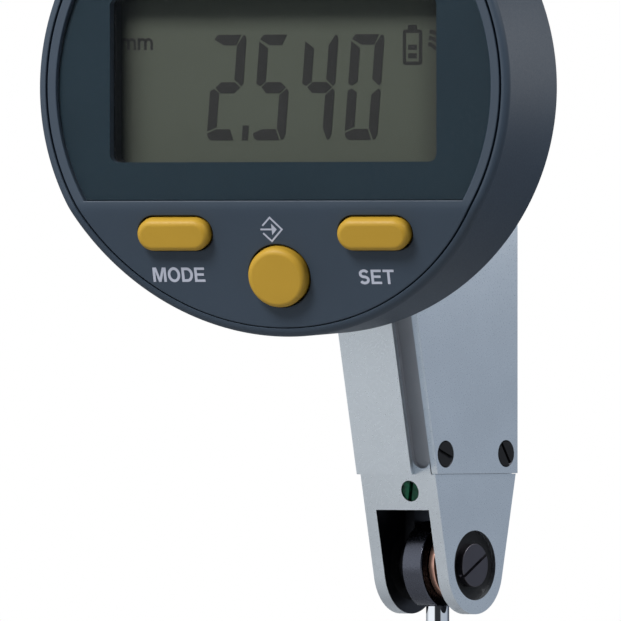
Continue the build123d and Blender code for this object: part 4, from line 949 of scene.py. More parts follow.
def screw_tree():
    """Geometry Nodes tree that puts a countersunk slotted screw on every point."""
    tree = bpy.data.node_groups.new("Slotted Screws", "GeometryNodeTree")
    tree.interface.new_socket("Geometry", in_out="INPUT", socket_type="NodeSocketGeometry")
    for name in SCREW_SIZES:
        tree.interface.new_socket(name, in_out="INPUT", socket_type="NodeSocketFloat")
    tree.interface.new_socket("Material", in_out="INPUT", socket_type="NodeSocketMaterial")
    tree.interface.new_socket("Geometry", in_out="OUTPUT", socket_type="NodeSocketGeometry")
    nodes = tree.nodes
    given = nodes.new("NodeGroupInput").outputs
    result = nodes.new("NodeGroupOutput")

    def fed(kind, values, **settings):
        return made(nodes, kind, values, **settings).outputs[0]

    def moved(geometry, height):
        offset = fed("ShaderNodeCombineXYZ", {"Z": height})
        return fed("GeometryNodeTransform", {"Geometry": geometry, "Translation": offset})

    radius, height, length = given["Head Radius"], given["Head Height"], given["Length"]
    low, shank_length = given["Shank Radius"], number(nodes, "SUBTRACT", length, height)
    values = {"Vertices": 48, "Radius Top": radius, "Radius Bottom": low, "Depth": height}
    head = moved(fed("GeometryNodeMeshCone", values), number(nodes, "MULTIPLY", height, -1.0))
    shank = fed("GeometryNodeMeshCylinder", {"Vertices": 24, "Radius": low, "Depth": shank_length})
    middle = number(nodes, "MULTIPLY", number(nodes, "ADD", length, height), -0.5)
    reach = number(nodes, "MULTIPLY", radius, 3.0)
    twice = number(nodes, "MULTIPLY", given["Slot Depth"], 2.0)
    size = fed("ShaderNodeCombineXYZ", {"X": reach, "Y": given["Slot Width"], "Z": twice})
    slot = fed("GeometryNodeMeshCube", {"Size": size})
    screw = nodes.new("GeometryNodeJoinGeometry")
    cut = fed("GeometryNodeMeshBoolean", {"Mesh 1": head, "Mesh 2": slot}, operation="DIFFERENCE")
    for part in (cut, moved(shank, middle)):
        feed(screw, {"Geometry": part})
    aim = fed("GeometryNodeInputNamedAttribute", {"Name": "aim"}, data_type="FLOAT_VECTOR")
    values = {"Points": given["Geometry"], "Instance": screw.outputs["Geometry"], "Rotation": aim}
    placed = fed("GeometryNodeRealizeInstances", {"Geometry": fed("GeometryNodeInstanceOnPoints", values)})
    dressed = fed("GeometryNodeSetMaterial", {"Geometry": placed, "Material": given["Material"]})
    feed(result, {"Geometry": dressed})
    return tree


def screws(name, places, radius, height, shank, length, slot, material):
    """One mesh with a slotted screw at each place; the sizes are in millimetres."""
    mesh = bpy.data.meshes.new(name)
    mesh.from_pydata([place.translation for place in places], [], [])
    aim = mesh.attributes.new("aim", "FLOAT_VECTOR", "POINT")
    for point, place in zip(aim.data, places):
        point.vector = place.to_euler()
    piece = link(name, mesh)
    modifier = piece.modifiers.new("Screws", "NODES")
    modifier.node_group = bpy.data.node_groups.get("Slotted Screws") or screw_tree()
    values = dict(zip(SCREW_SIZES, (radius, height, shank, length, *slot)))
    for item in modifier.node_group.interface.items_tree:
        if item.in_out == "INPUT" and item.name in values:
            modifier[item.identifier] = values[item.name] * MM
        elif item.name == "Material":
            modifier[item.identifier] = MATERIALS[material]
    return shade(settle(piece))


class INDICATOR_OT_finishes(bpy.types.Operator):
    """Make the materials and give each CAD node its own, but the measuring lever the painted shade of the fork's
    slot
    """

    bl_idname = "indicator.finishes"
    bl_label = "Finishes"

    def execute(self, context):
        make_materials(context.scene.indicator_colours)
        for subpart in frame["record"]["subparts"]:
            piece = frame["nodes"][subpart["node"]]
            # The measuring lever gets painted shade, dark steel, as it sits in the fork's shadow.
            in_fork_shade = subpart["node"] == "measuring_lever"
            material = MATERIALS["painted_shade_steel" if in_fork_shade else subpart["material_slot"]]
            if not piece.material_slots:
                piece.data.materials.append(material)
            for place in piece.material_slots:
                place.material = material
        return {"FINISHED"}


class INDICATOR_OT_metal_body(bpy.types.Operator):
    """Cut the metal frame and its side covers, with softened edges"""

    bl_idname = "indicator.metal_body"
    bl_label = "Metal Body"

    def execute(self, context):
        edges = context.scene.indicator_edges
        parts = (
            ("body_frame", body_frame(), edges.metal),
            ("right_side_cover", side_cover(1), edges.cover),
            ("left_side_cover", side_cover(-1), edges.cover),
        )
        for node, piece, width in parts:
            piece.name = node + "_finished"
            piece.data.transform(BODY)
            finish_piece(soften(piece, width), "satin_chrome", "body", "satin_chrome", node)
        paint_slot_shade_and_dull_grooves(parts[0][1])
        paint_countersink_shade(parts[1][1])
        paint_countersink_shade(parts[2][1])
        finish_piece(merged("fork_set_screw"), "green_lacquer", "body", "green_lacquer", "fork_set_screw")
        return {"FINISHED"}


class INDICATOR_OT_fasteners(bpy.types.Operator):
    """Put the slotted screws into the covers and the housing"""

    bl_idname = "indicator.fasteners"
    bl_label = "Fasteners"

    def execute(self, context):
        covers = [BODY @ on_cover(side, *place) for side in (-1, 1) for place in cover_screw_places()]
        sizes = COVER_SCREW_RADIUS, COVER_SCREW_RADIUS / 2, COVER_SCREW_SHANK, COVER_SCREW_LENGTH
        piece = screws("cover_screws_finished", covers, *sizes, COVER_SLOT, "black_steel")
        finish_piece(piece, "black_steel", "body", "black_steel", "cover_screws")
        backs = [
            HEAD @ backwards_at(x, z, HEAD_DEPTH) @ Matrix.Rotation(radians(turn), 4, "Z")
            for (x, z), turn in zip(post_places(), HOUSING_SCREW_TURNS)
        ]
        sizes = HOUSING_SCREW_RADIUS, HOUSING_SCREW_SHANK, HOUSING_SCREW_SHANK, HOUSING_SCREW_LENGTH
        piece = screws("housing_screws_finished", backs, *sizes, HOUSING_SLOT, "black_steel")
        finish_piece(piece, "black_steel", "head", "black_steel", "housing_screws")
        return {"FINISHED"}


# Pivot and stylus, turned round the pivot axis

def ring(name, bore, radius, low, high, edge, place):
    """Flat ring with rounded outer edges."""
    upper = [(radius - step, high - depth) for step, depth in rounding(edge, 3)]
    lower = [(radius - step, low + depth) for step, depth in reversed(rounding(edge, 3))]
    return turned(name, [(bore, low), *lower, *upper, (bore, high)], place, closed=True)


def bearing_place(side):
    """Place of an ear's bearing, looking outwards."""
    return Matrix.Translation(PIVOT) @ Matrix.Rotation(0 if side > 0 else pi, 4, "Z") @ ALONG_X


def pivot_screw(side):
    """Slotted screw in the middle of a bearing ring."""
    place = bearing_place(side)
    depth, width = PIVOT_SLOT
    top = [(PIVOT_SCREW_RADIUS - step, PIVOT_SCREW_X - fall) for step, fall in rounding(FINE_EDGE, 3)]
    piece = turned("pivot_screw", [(PIVOT_SCREW_RADIUS, BEARING_X[0]), *top], place)
    outline = rectangle(-SLOT_REACH, SLOT_REACH, -width / 2, width / 2)
    slot = slab(outline, PIVOT_SCREW_X - depth, PIVOT_SCREW_X + 1, place @ Matrix.Rotation(pi / 6, 4, "Z"))
    return carve(piece, slot)


def bearing_ring(side):
    """Dished black ring in a fork ear."""
    low, high = BEARING_X
    dish = high - BEARING_DISH
    profile = [
        (PIVOT_SCREW_RADIUS, low), (BEARING_RADIUS, low), (BEARING_RADIUS, high),
        (BEARING_RADIUS - 0.15, high), (PIVOT_SCREW_RADIUS + 0.1, dish), (PIVOT_SCREW_RADIUS, dish),
    ]
    return turned("bearing_ring", profile, bearing_place(side), closed=True)


def stylus_drum():
    """Drum with rounded edges and a flat under it for the stem."""
    piece = ring("drum", DRUM_BORE, DRUM_RADIUS, -DRUM_HALF, DRUM_HALF, DRUM_EDGE, ON_PIVOT)
    reach = 2 * DRUM_RADIUS
    below = rectangle(PIVOT.y - reach, PIVOT.y + reach, PIVOT.z - reach, PIVOT.z - DRUM_FLAT)
    carve(piece, slab(below, -reach, reach))
    stub = Matrix.Translation((0, PIVOT.y, PIVOT.z - DRUM_FLAT))
    return carve(piece, rod(STEM_STUB_RADIUS, -1, STEM_STUB_LENGTH, stub, 48))


def stylus_stem():
    """Polished stem, turned in one profile from its stub to its neck."""
    top = -DRUM_FLAT
    neck = STEM_NECK_LENGTH - STYLUS_LENGTH
    profile = [
        (STEM_STUB_RADIUS, top + STEM_STUB_LENGTH), (STEM_STUB_RADIUS, top), (STEM_RADIUS - STEM_EDGE, top),
        (STEM_RADIUS, top - STEM_EDGE), (STEM_RADIUS, top - STEM_STRAIGHT), (STEM_NECK_RADIUS, neck),
        (STEM_NECK_RADIUS, -STYLUS_LENGTH + BALL_SINK),
    ]
    return turned("stem", profile, Matrix.Translation(PIVOT))


def stylus_ball():
    profile = arc((0, -STYLUS_LENGTH), BALL_RADIUS, -89, 89, 40)
    return turned("ball", profile, Matrix.Translation(PIVOT), segments=64)


class INDICATOR_OT_stylus(bpy.types.Operator):
    """Turn the bearings, the drum, the washer and the stylus"""

    bl_idname = "indicator.stylus"
    bl_label = "Stylus"

    def execute(self, context):
        radii = ARBOR_RADIUS, FRICTION_WASHER_RADIUS
        washer = ring("washer", *radii, *FRICTION_WASHER_X, FINE_EDGE, ON_PIVOT)
        parts = (
            ("right_bearing_ring", bearing_ring(1), "black_steel", "body"),
            ("left_bearing_ring", bearing_ring(-1), "black_steel", "body"),
            ("right_pivot_screw", pivot_screw(1), "oxide_steel", "body"),
            ("left_pivot_screw", pivot_screw(-1), "oxide_steel", "body"),
            ("friction_washer", washer, "copper", "lever"),
            ("stylus_drum", stylus_drum(), "dark_steel", "stylus"),
            ("stylus_stem", stylus_stem(), "polished_chrome", "stylus"),
            ("stylus_ball", stylus_ball(), "carbide", "stylus"),
        )
        for node, piece, material, body in parts:
            finish_shaped(node, piece, BODY, material, body)
        return {"FINISHED"}


# Display head, built in its own frame

def post_places():
    """(x, z) of the posts that the housing screws enter."""
    return [(POST_CIRCLE * cos(radians(a)), POST_CIRCLE * sin(radians(a))) for a in POST_ANGLES]


CREASE_SOFTNESS = 0.2
CREASE_CUTS = (-0.9, -0.6, -0.35, -0.15, 0, 0.15, 0.35, 0.6)


def drop(z):
    """How far the face leans back at a height, with a soft crease."""
    return tan(TILT) * CREASE_SOFTNESS * log(1 + exp((CREASE_Z - z) / CREASE_SOFTNESS))


def backwards_at(x, z, y=0.0):
    """Place in the head's frame, looking backwards."""
    return Matrix.Translation((x, y, z)) @ BACKWARDS


def lean_back(piece, fade, taper=0.0):
    """Lean the lower part of a flat face back; the lean fades between two depths."""
    near, far = fade
    for vertex in piece.data.vertices:
        x, y, z = vertex.co
        shift = drop(z) * min(1.0, max(0.0, (far - y) / (far - near)))
        scale = 1 - taper * shift / max(1.0, hypot(x, z))
        vertex.co = (x * scale, y + shift, z * scale)


def head_housing():
    """Cup with a rounded rim, an inner ledge for the face plate, and the pockets of its back."""
    slope = HEAD_TAPER / HEAD_DEPTH
    inner, back = HEAD_RADIUS - HEAD_WALL, HEAD_RADIUS - HEAD_TAPER
    seat = FACE_RADIUS + FACE_GAP
    rim = [(HEAD_RADIUS - step, depth) for step, depth in reversed(rounding(RIM_ROUND))]
    foot = [(back - step, HEAD_DEPTH - depth) for step, depth in rounding(BACK_ROUND)]
    profile = [
        (inner, CAVITY_DEPTH), (inner, LEDGE_Y), (seat, LEDGE_Y),
        (seat, SEAT_BREAK[1]), (seat + SEAT_BREAK[0], 0), *rim, *foot,
    ]
    piece = turned("head_housing_finished", profile, BACKWARDS, segments=360)
    lean_back(piece, (LEDGE_Y, CAVITY_DEPTH), slope)
    past = HEAD_DEPTH + 1
    battery = backwards_at(0, BATTERY_CENTRE_Z)
    flange = rounded_rectangle(
        FLANGE_WIDTH + HOUSING_GAP, FLANGE_HEIGHT + HOUSING_GAP, FLANGE_CORNER, (0, -KNUCKLE_Z)
    )
    shank, mouth = HOUSING_SCREW_SHANK, HOUSING_SCREW_RADIUS + HOUSING_GAP
    hole = [(shank, -HOUSING_HOLE_DEPTH), (shank, -shank), (mouth, 0), (mouth, 1)]
    cuts = [
        rod(CELL_WELL_RADIUS, CAVITY_DEPTH - 1, past, battery),
        rod(CAP_RADIUS + CAP_GAP, CAP_SEAT, past, battery),
        slab(flange, HEAD_DEPTH - FLANGE_THICKNESS, past, BACKWARDS),
        rod(LEAD_HOLE_RADIUS, CAVITY_DEPTH - 1, past, backwards_at(0, KNUCKLE_Z), 32),
    ]
    cuts += [turned("hole", hole, backwards_at(x, z, HEAD_DEPTH), segments=64) for x, z in post_places()]
    for cutter in cuts:
        carve(piece, cutter)
    return piece


def button_outlines(grow=0.0):
    """Outlines of the buttons on the leaning panel, by name."""
    length, height = OBLONG_LENGTH + 2 * grow, OBLONG_HEIGHT + 2 * grow
    return {
        "mode": rounded_rectangle(length, height, height / 2, (-BUTTON_X, BUTTON_ROW_V), 24),
        "set": rounded_rectangle(length, height, height / 2, (BUTTON_X, BUTTON_ROW_V), 24),
        "data": circle((0, DATA_BUTTON_V), ROUND_RADIUS + grow, 96),
    }


def panel_point(u, v, depth):
    """Point of the panel before the face is leaned back."""
    return (u, depth * cos(TILT), CREASE_Z + v * cos(TILT) + depth * sin(TILT))


def face_plate(edge):
    """Front plate with its window recess, view opening, leaning panel, button holes and posts."""
    def build(bm):
        step = rounding(edge, 3)
        lip = [(-inward, depth) for inward, depth in reversed(step)]
        recess = WINDOW_THICKNESS + MASK_THICKNESS
        outer = wall(bm, circle((0, 0), FACE_RADIUS, 360), [(0, FACE_THICKNESS), *step])
        seat = window_outline(WINDOW_RADIUS + WINDOW_GAP, WINDOW_LOW_Z - WINDOW_GAP)
        window = wall(bm, seat, [*lip, (0, recess)])
        view_outline = rounded_rectangle(VIEW_WIDTH, VIEW_HEIGHT, VIEW_CORNER, (VIEW_SHIFT, VIEW_CENTRE_Z))
        view = wall(bm, view_outline, [(0, recess), (0, FACE_THICKNESS)])
        holes = [
            wall(bm, outline, [*lip, (0, FACE_THICKNESS / cos(TILT))], panel_point)
            for outline in button_outlines(BUTTON_GAP).values()
        ]
        fill(bm, outer[-1], window[0], *[hole[0] for hole in holes])
        fill(bm, window[-1], view[0])
        fill(bm, outer[0], view[-1], *[hole[-1] for hole in holes])
        for offset in CREASE_CUTS:
            geometry = [*bm.verts, *bm.edges, *bm.faces]
            level = (0, 0, CREASE_Z + offset)
            bmesh.ops.bisect_plane(bm, geom=geometry, plane_co=level, plane_no=(0, 0, 1))
    piece = link("face_plate_finished", mesh_from("face_plate", build))
    lean_back(piece, (CAVITY_DEPTH, 2 * CAVITY_DEPTH))
    posts = [rod(POST_RADIUS, POST_FRONT, CAVITY_DEPTH, backwards_at(x, z), 48) for x, z in post_places()]
    return joined(piece, posts)


def joined(piece, others):
    """Add the meshes of other objects to a piece."""
    bm = bmesh.new()
    for part in (piece, *others):
        bm.from_mesh(part.data)
    bm.to_mesh(piece.data)
    bm.free()
    for part in others:
        bpy.data.objects.remove(part)
    return piece


def window_mask():
    """Print behind the glass, open over the display."""
    def build(bm):
        back = WINDOW_THICKNESS + MASK_THICKNESS
        opening = rounded_rectangle(VIEW_WIDTH, VIEW_HEIGHT, VIEW_CORNER, (VIEW_SHIFT, VIEW_CENTRE_Z))
        levels = [(0, WINDOW_THICKNESS), (0, back)]
        outer = wall(bm, window_outline(WINDOW_RADIUS, WINDOW_LOW_Z), levels)
        inner = wall(bm, opening, levels)
        fill(bm, outer[0], inner[0])
        fill(bm, outer[1], inner[1])
    return link("window_mask_finished", mesh_from("window_mask", build))


def window():
    """Glass with a straight lower edge and a fine rounding."""
    outline = window_outline(WINDOW_RADIUS, WINDOW_LOW_Z)
    levels = [(0, WINDOW_THICKNESS - PRINT_GAP), *rounding(FINE_EDGE, 3)]
    return lofted("display_window_finished", outline, levels)


class INDICATOR_OT_head_shell(bpy.types.Operator):
    """Form the housing, the face plate and the window, and smooth the knuckle"""

    bl_idname = "indicator.head_shell"
    bl_label = "Head Shell"

    def execute(self, context):
        parts = (
            ("head_housing", head_housing(), "slate_plastic"),
            ("face_plate", face_plate(context.scene.indicator_edges.plastic), "slate_plastic"),
            ("display_window", window(), "window_glass"),
            ("window_mask", window_mask(), "mask_print"),
        )
        for node, piece, material in parts:
            finish_shaped(node, piece, HEAD, material, "head")
        slot = slot_of("swivel_knuckle")
        finish_piece(merged("swivel_knuckle"), slot, "head", slot, "swivel_knuckle")
        return {"FINISHED"}


# Buttons and battery cap

def button(outline):
    """Button cap with a rounded top and its hidden flange."""
    back = FACE_THICKNESS * cos(TILT) + BUTTON_REST_GAP + BUTTON_FLANGE_THICKNESS
    flange = back - BUTTON_FLANGE_THICKNESS
    top = [(step, depth - BUTTON_PROUD) for step, depth in rounding(BUTTON_ROUND, 10)]
    return lofted("button", outline, [(-BUTTON_FLANGE, back), (-BUTTON_FLANGE, flange), (0, flange), *top])


def battery_cap():
    """Cap with a coin slot."""
    place = backwards_at(0, BATTERY_CENTRE_Z)
    top = [(CAP_RADIUS - step, CAP_BACK - depth) for step, depth in rounding(CAP_EDGE, 4)]
    boss = [(CAP_BOSS_RADIUS, CAP_BOSS_FRONT), (CAP_BOSS_RADIUS, CAP_FRONT)]
    profile = [*boss, (CAP_RADIUS, CAP_FRONT), *top]
    piece = turned("battery_cap", profile, place, segments=192)
    length, width, depth = COIN_SLOT
    slot = rounded_rectangle(length, width, width / 2 - 0.01)
    return carve(piece, slab(slot, CAP_BACK - depth, CAP_BACK + 1, place))


class INDICATOR_OT_controls(bpy.types.Operator):
    """Form the three buttons and the battery cap"""

    bl_idname = "indicator.controls"
    bl_label = "Controls"

    def execute(self, context):
        for name, outline in button_outlines(-BUTTON_TRIM).items():
            node = name + "_button"
            finish_shaped(node, button(outline), PANEL, "yellow_plastic", node)
        finish_shaped("battery_cap", battery_cap(), HEAD, "black_plastic", "battery_cap")
        return {"FINISHED"}


# Digits of the display: outlines in shares of the digit's box, in the order A to G

SEGMENT_X = 0.28     # width of an upright segment
SEGMENT_Z = 0.10     # height of a level segment
SEGMENT_GAP = 0.012
DIGIT_SEGMENTS = {
    "0": "ABCDEF", "1": "BC", "2": "ABDEG", "3": "ABCDG", "4": "BCFG",
    "5": "ACDFG", "6": "ACDEFG", "7": "ABC", "8": "ABCDEFG", "9": "ABCDFG",
}


def segment_outlines():
    """Outline of each segment of a digit one unit wide and one unit high."""
    x, z, g = SEGMENT_X, SEGMENT_Z, SEGMENT_GAP
    return {
        "A": [(0.02, 0.955), (0.12, 1.0), (0.83, 1.0), (0.7, 1 - z), (x + 0.04, 1 - z)],
        "B": [
            (0.91, 1.0), (0.97, 0.985), (1.0, 0.95), (1.0, 0.54),
            (0.94, 0.5 + g), (1 - x, 0.574), (1 - x, 0.895),
        ],
        "C": [
            (1.0, 0.46), (0.94, 0.5 - g), (1 - x, 0.426), (1 - x, 0.115),
            (0.88, 0.0), (0.95, 0.015), (1.0, 0.06),
        ],
        "D": [(0.0, 0.065), (x, 0.105), (0.69, 0.105), (0.82, 0.0), (0.14, 0.0), (0.05, 0.02)],
        "E": [(0.0, 0.085), (0.0, 0.465), (0.12, 0.5 - g), (x, 0.45), (x, 0.125)],
        "F": [(0.0, 0.935), (x, 0.87), (x, 0.55), (0.12, 0.5 + g), (0.0, 0.535)],
        "G": [(0.16, 0.5), (x + 0.04, 0.55), (0.74, 0.55), (0.91, 0.5), (0.74, 0.445), (x + 0.04, 0.445)],
    }


def flat_shape(bm, outline, y):
    """One flat face that looks forwards."""
    face = bm.faces.new([bm.verts.new((x, y, z)) for x, z in outline])
    face.normal_update()
    if face.normal.y > 0:
        face.normal_flip()


def stroke(bm, points, width, y, closed=False):
    """Flat band of an even width along a line."""
    sides = [inset(points, side * width / 2, closed) for side in (-1, 1)]
    left, right = [[bm.verts.new((x, y, z)) for x, z in side] for side in sides]
    for index in range(0 if closed else 1, len(points)):
        bm.faces.new((left[index - 1], left[index], right[index], right[index - 1]))


def raise_shapes(bm, thickness):
    """Give every flat face a thickness, forwards."""
    grown = bmesh.ops.extrude_face_region(bm, geom=list(bm.faces))["geom"]
    front = [part for part in grown if isinstance(part, bmesh.types.BMVert)]
    bmesh.ops.translate(bm, vec=(0, -thickness, 0), verts=front)


INK_THICKNESS = 0.03
READING_LEFT = -7.28
READING_LOW_Z = -4.67
POINT = (-1.0, -0.43, 1.3)  # start, end and top of the decimal mark
UNIT_LEFT = -15.2
UNIT_PITCH = 1.58
UNIT_ARCH = 0.6          # width of an arch of the letter m
UNIT_LOW_Z = 3.28
UNIT_HEIGHT = 1.06
UNIT_STROKE = 0.24
BATTERY_SIGN = (11.95, 3.62)
BATTERY_CASE = (1.5, 2.8, 0.12)            # width, height and corner
BATTERY_DROP = 0.2                         # of the case under the sign's middle
BATTERY_STROKE = 0.3
BATTERY_BARS = ((0.42, 1.55, 0.4), (0.4, -0.95, 0.45), (0.4, -0.2, 0.45))  # half width, height, stroke
WAVE_SIGN = (13.35, 2.85)
WAVE_RADII = (0.85, 1.4, 1.95)
SIGN_STROKE = 0.36


def draw_reading(bm, settings, y):
    """Digits and decimal mark of the reading."""
    outlines = segment_outlines()
    lean = tan(settings.slant)
    width, height = settings.digit_width, settings.digit_height
    left = READING_LEFT
    for character in settings.reading:
        if character == ".":
            start, end, top = POINT
            shapes = [rectangle(left + start, left + end, 0, top)]
        else:
            keys = DIGIT_SEGMENTS[character]
            shapes = [[(left + u * width, w * height) for u, w in outlines[key]] for key in keys]
            left += settings.digit_pitch
        for points in shapes:
            flat_shape(bm, [(x + lean * z, z + READING_LOW_Z) for x, z in points], y)
    raise_shapes(bm, INK_THICKNESS)


def draw_signs(bm, y):
    """Unit, battery sign and waves at the top of the display."""
    low, half = UNIT_LOW_Z, UNIT_ARCH / 2
    crown = low + UNIT_HEIGHT - UNIT_STROKE / 2 - half
    for x in (UNIT_LEFT, UNIT_LEFT + UNIT_PITCH):
        stroke(bm, [(x, low), (x, low + UNIT_HEIGHT)], UNIT_STROKE, y)
        for left in (x, x + UNIT_ARCH):
            top = arc((left + half, crown), half, 180, 0, 8)
            stroke(bm, [*top, (left + UNIT_ARCH, low)], UNIT_STROKE, y)
    x, z = BATTERY_SIGN
    stroke(bm, rounded_rectangle(*BATTERY_CASE, (x, z - BATTERY_DROP), 3), BATTERY_STROKE, y, closed=True)
    for half, height, width in BATTERY_BARS:
        stroke(bm, [(x - half, z + height), (x + half, z + height)], width, y)
    for radius, start in zip(WAVE_RADII, (25, 20, 20)):
        stroke(bm, arc(WAVE_SIGN, radius, start, 84, 10), SIGN_STROKE, y)
    raise_shapes(bm, INK_THICKNESS)


class INDICATOR_OT_display(bpy.types.Operator):
    """Draw the reading, the unit and the signs on the display"""

    bl_idname = "indicator.display"
    bl_label = "Display"

    def execute(self, context):
        settings = context.scene.indicator_display
        drawings = {"reading": lambda bm: draw_reading(bm, settings, CELL_FRONT)}
        drawings["display_signs"] = lambda bm: draw_signs(bm, CELL_FRONT)
        for name, draw in drawings.items():
            piece = link(name, mesh_from(name, draw, HEAD))
            finish_piece(piece, "segment_ink", "head", "display_film")
        return {"FINISHED"}


# Lettering of the panel, in shares of the letters' height

BAND = 0.185
BAR = 0.165
LETTER_GAP = 0.115
LETTER_HEIGHT = 1.31
LETTER_THICKNESS = 0.02
WORDS = {"lettering_mode": ("MODE", (-9.4, -6.11)), "lettering_set": ("SET", (9.05, -6.32))}
ENTRY_SIGN = (-0.36, -1.98)
ENTRY_STROKE = 0.15
DIAMOND = ((-0.74, 0.34), (0, 1.08), (1.04, 0), (0, -1.08), (-0.74, -0.34))
ARROW_SHAFT = ((-0.96, 0), (0.15, 0))
ARROW_HEAD = ((0.09, -0.52), (0.56, 0), (0.09, 0.52))
STRAIGHT_LETTERS = {
    "M": (0.95, [
        (0, 0), (0.18, 0), (0.18, 0.74), (0.385, 0), (0.565, 0), (0.77, 0.74), (0.77, 0),
        (0.95, 0), (0.95, 1), (0.68, 1), (0.475, 0.3), (0.27, 1), (0, 1),
    ]),
    "E": (0.74, [
        (0, 0), (0.74, 0), (0.74, BAR), (BAND, BAR), (BAND, 0.43), (0.67, 0.43), (0.67, 0.43 + BAR),
        (BAND, 0.43 + BAR), (BAND, 1 - BAR), (0.72, 1 - BAR), (0.72, 1), (0, 1),
    ]),
    "T": (0.78, [
        (0.3, 0), (0.48, 0), (0.48, 1 - BAR), (0.78, 1 - BAR),
        (0.78, 1), (0, 1), (0, 1 - BAR), (0.3, 1 - BAR),
    ]),
}


def oval(centre, radii, start, end, steps):
    """Points on an ellipse between two angles in degrees."""
    points = arc((0, 0), 1, start, end, steps)
    return [(centre[0] + radii[0] * x, centre[1] + radii[1] * z) for x, z in points]


def round_letter(letter):
    """Width of a round letter, its middle line, and whether that is closed."""
    half = BAND / 2
    if letter == "O":
        return 0.88, oval((0.44, 0.5), (0.44 - half, 0.52 - half), 0, 360, 40)[:-1], True
    if letter == "D":
        bow = oval((0.38, 0.5), (0.42 - half, 0.5 - half), -90, 90, 20)
        return 0.80, [(half, half), *bow, (half, 1 - half)], True
    upper = oval((0.37, 0.714), (0.27, 0.214), 25, 270, 16)
    lower = oval((0.37, 0.286), (0.27, 0.214), 90, -155, 16)
    return 0.74, [*upper, *lower[1:]], False


def draw_word(bm, word, centre):
    """Bold capitals, centred on a point of the panel."""
    advances = [STRAIGHT_LETTERS[c][0] if c in STRAIGHT_LETTERS else round_letter(c)[0] for c in word]
    left = centre[0] - (sum(advances) + LETTER_GAP * (len(word) - 1)) * LETTER_HEIGHT / 2
    for letter, advance in zip(word, advances):
        straight = letter in STRAIGHT_LETTERS
        points = STRAIGHT_LETTERS[letter][1] if straight else round_letter(letter)[1]
        placed = [(left + x * LETTER_HEIGHT, centre[1] + (z - 0.5) * LETTER_HEIGHT) for x, z in points]
        if straight:
            flat_shape(bm, placed, 0)
        else:
            stroke(bm, placed, BAND * LETTER_HEIGHT, 0, round_letter(letter)[2])
        left += (advance + LETTER_GAP) * LETTER_HEIGHT
    raise_shapes(bm, LETTER_THICKNESS)


def draw_entry_sign(bm):
    """Arrow into an open diamond."""
    x, v = ENTRY_SIGN
    for points in (DIAMOND, ARROW_SHAFT):
        stroke(bm, [(x + across, v + up) for across, up in points], ENTRY_STROKE, 0)
    flat_shape(bm, [(x + across, v + up) for across, up in ARROW_HEAD], 0)
    raise_shapes(bm, LETTER_THICKNESS)


class INDICATOR_OT_lettering(bpy.types.Operator):
    """Print the words and the sign beside the buttons"""

    bl_idname = "indicator.lettering"
    bl_label = "Lettering"

    def execute(self, context):
        drawings = {name: lambda bm, word=word: draw_word(bm, *word) for name, word in WORDS.items()}
        drawings["entry_sign"] = draw_entry_sign
        for name, draw in drawings.items():
            piece = link(name, mesh_from(name, draw, PANEL))
            finish_piece(piece, "letter_ink", "head", "slate_plastic")
        return {"FINISHED"}


# Studio

SENSOR = 36.0
AIM_RIGHT = -4.78
AIM_UP = 1.41
FLOOR_Z = -35.2
FLOOR_RADIUS = 95.0
FLOOR_COLOUR = (0.35, 0.36, 0.37)
LAMPS = (("key", (160, -140, 190), 85), ("rim", (120, 300, 330), 120))  # towards, right, up; side
GLOW_LINE = ((40, 63, 34), (4, 14, 8))  # from and to, in the object's own frame
GLOW_SIZE = 40.0
GLOW_POWER = 0.0078
FOCUS_FORWARD = 10.0     # from the body's axis to the plane that the frame's width is taken in


def area_light(name, place, target, size, power):
    """Soft square lamp that looks at a point."""
    lamp = bpy.data.lights.new(name, "AREA")
    lamp.size = size
    lamp.energy = power
    carrier = bpy.data.objects.new(name, lamp)
    carrier.location = place
    carrier.rotation_euler = (target - place).to_track_quat("-Z", "Y").to_euler()
    carrier.visible_camera = False
    bpy.context.scene.collection.objects.link(carrier)


# Brightness of the studio round the object, by direction from +X over +Y, in degrees
STUDIO_BAND = (
    (-180, (0.30, 0.32, 0.34)),
    (-150, (0.64, 0.67, 0.70)),
    (-90, (0.64, 0.67, 0.70)),
    (-78, (0.02, 0.022, 0.025)),
    (-30, (0.02, 0.022, 0.025)),
    (-18, (0.32, 0.355, 0.40)),
    (45, (0.29, 0.33, 0.385)),
    (75, (0.06, 0.07, 0.09)),
    (125, (0.06, 0.07, 0.09)),
    (150, (0.17, 0.185, 0.205)),
    (180, (0.30, 0.32, 0.34)),
)

# Heights between which the band fades to a grey, and that grey
OVERHEAD = (0.35, 0.95, 0.28)
UNDERFOOT = (-0.1, -0.45, 0.02)


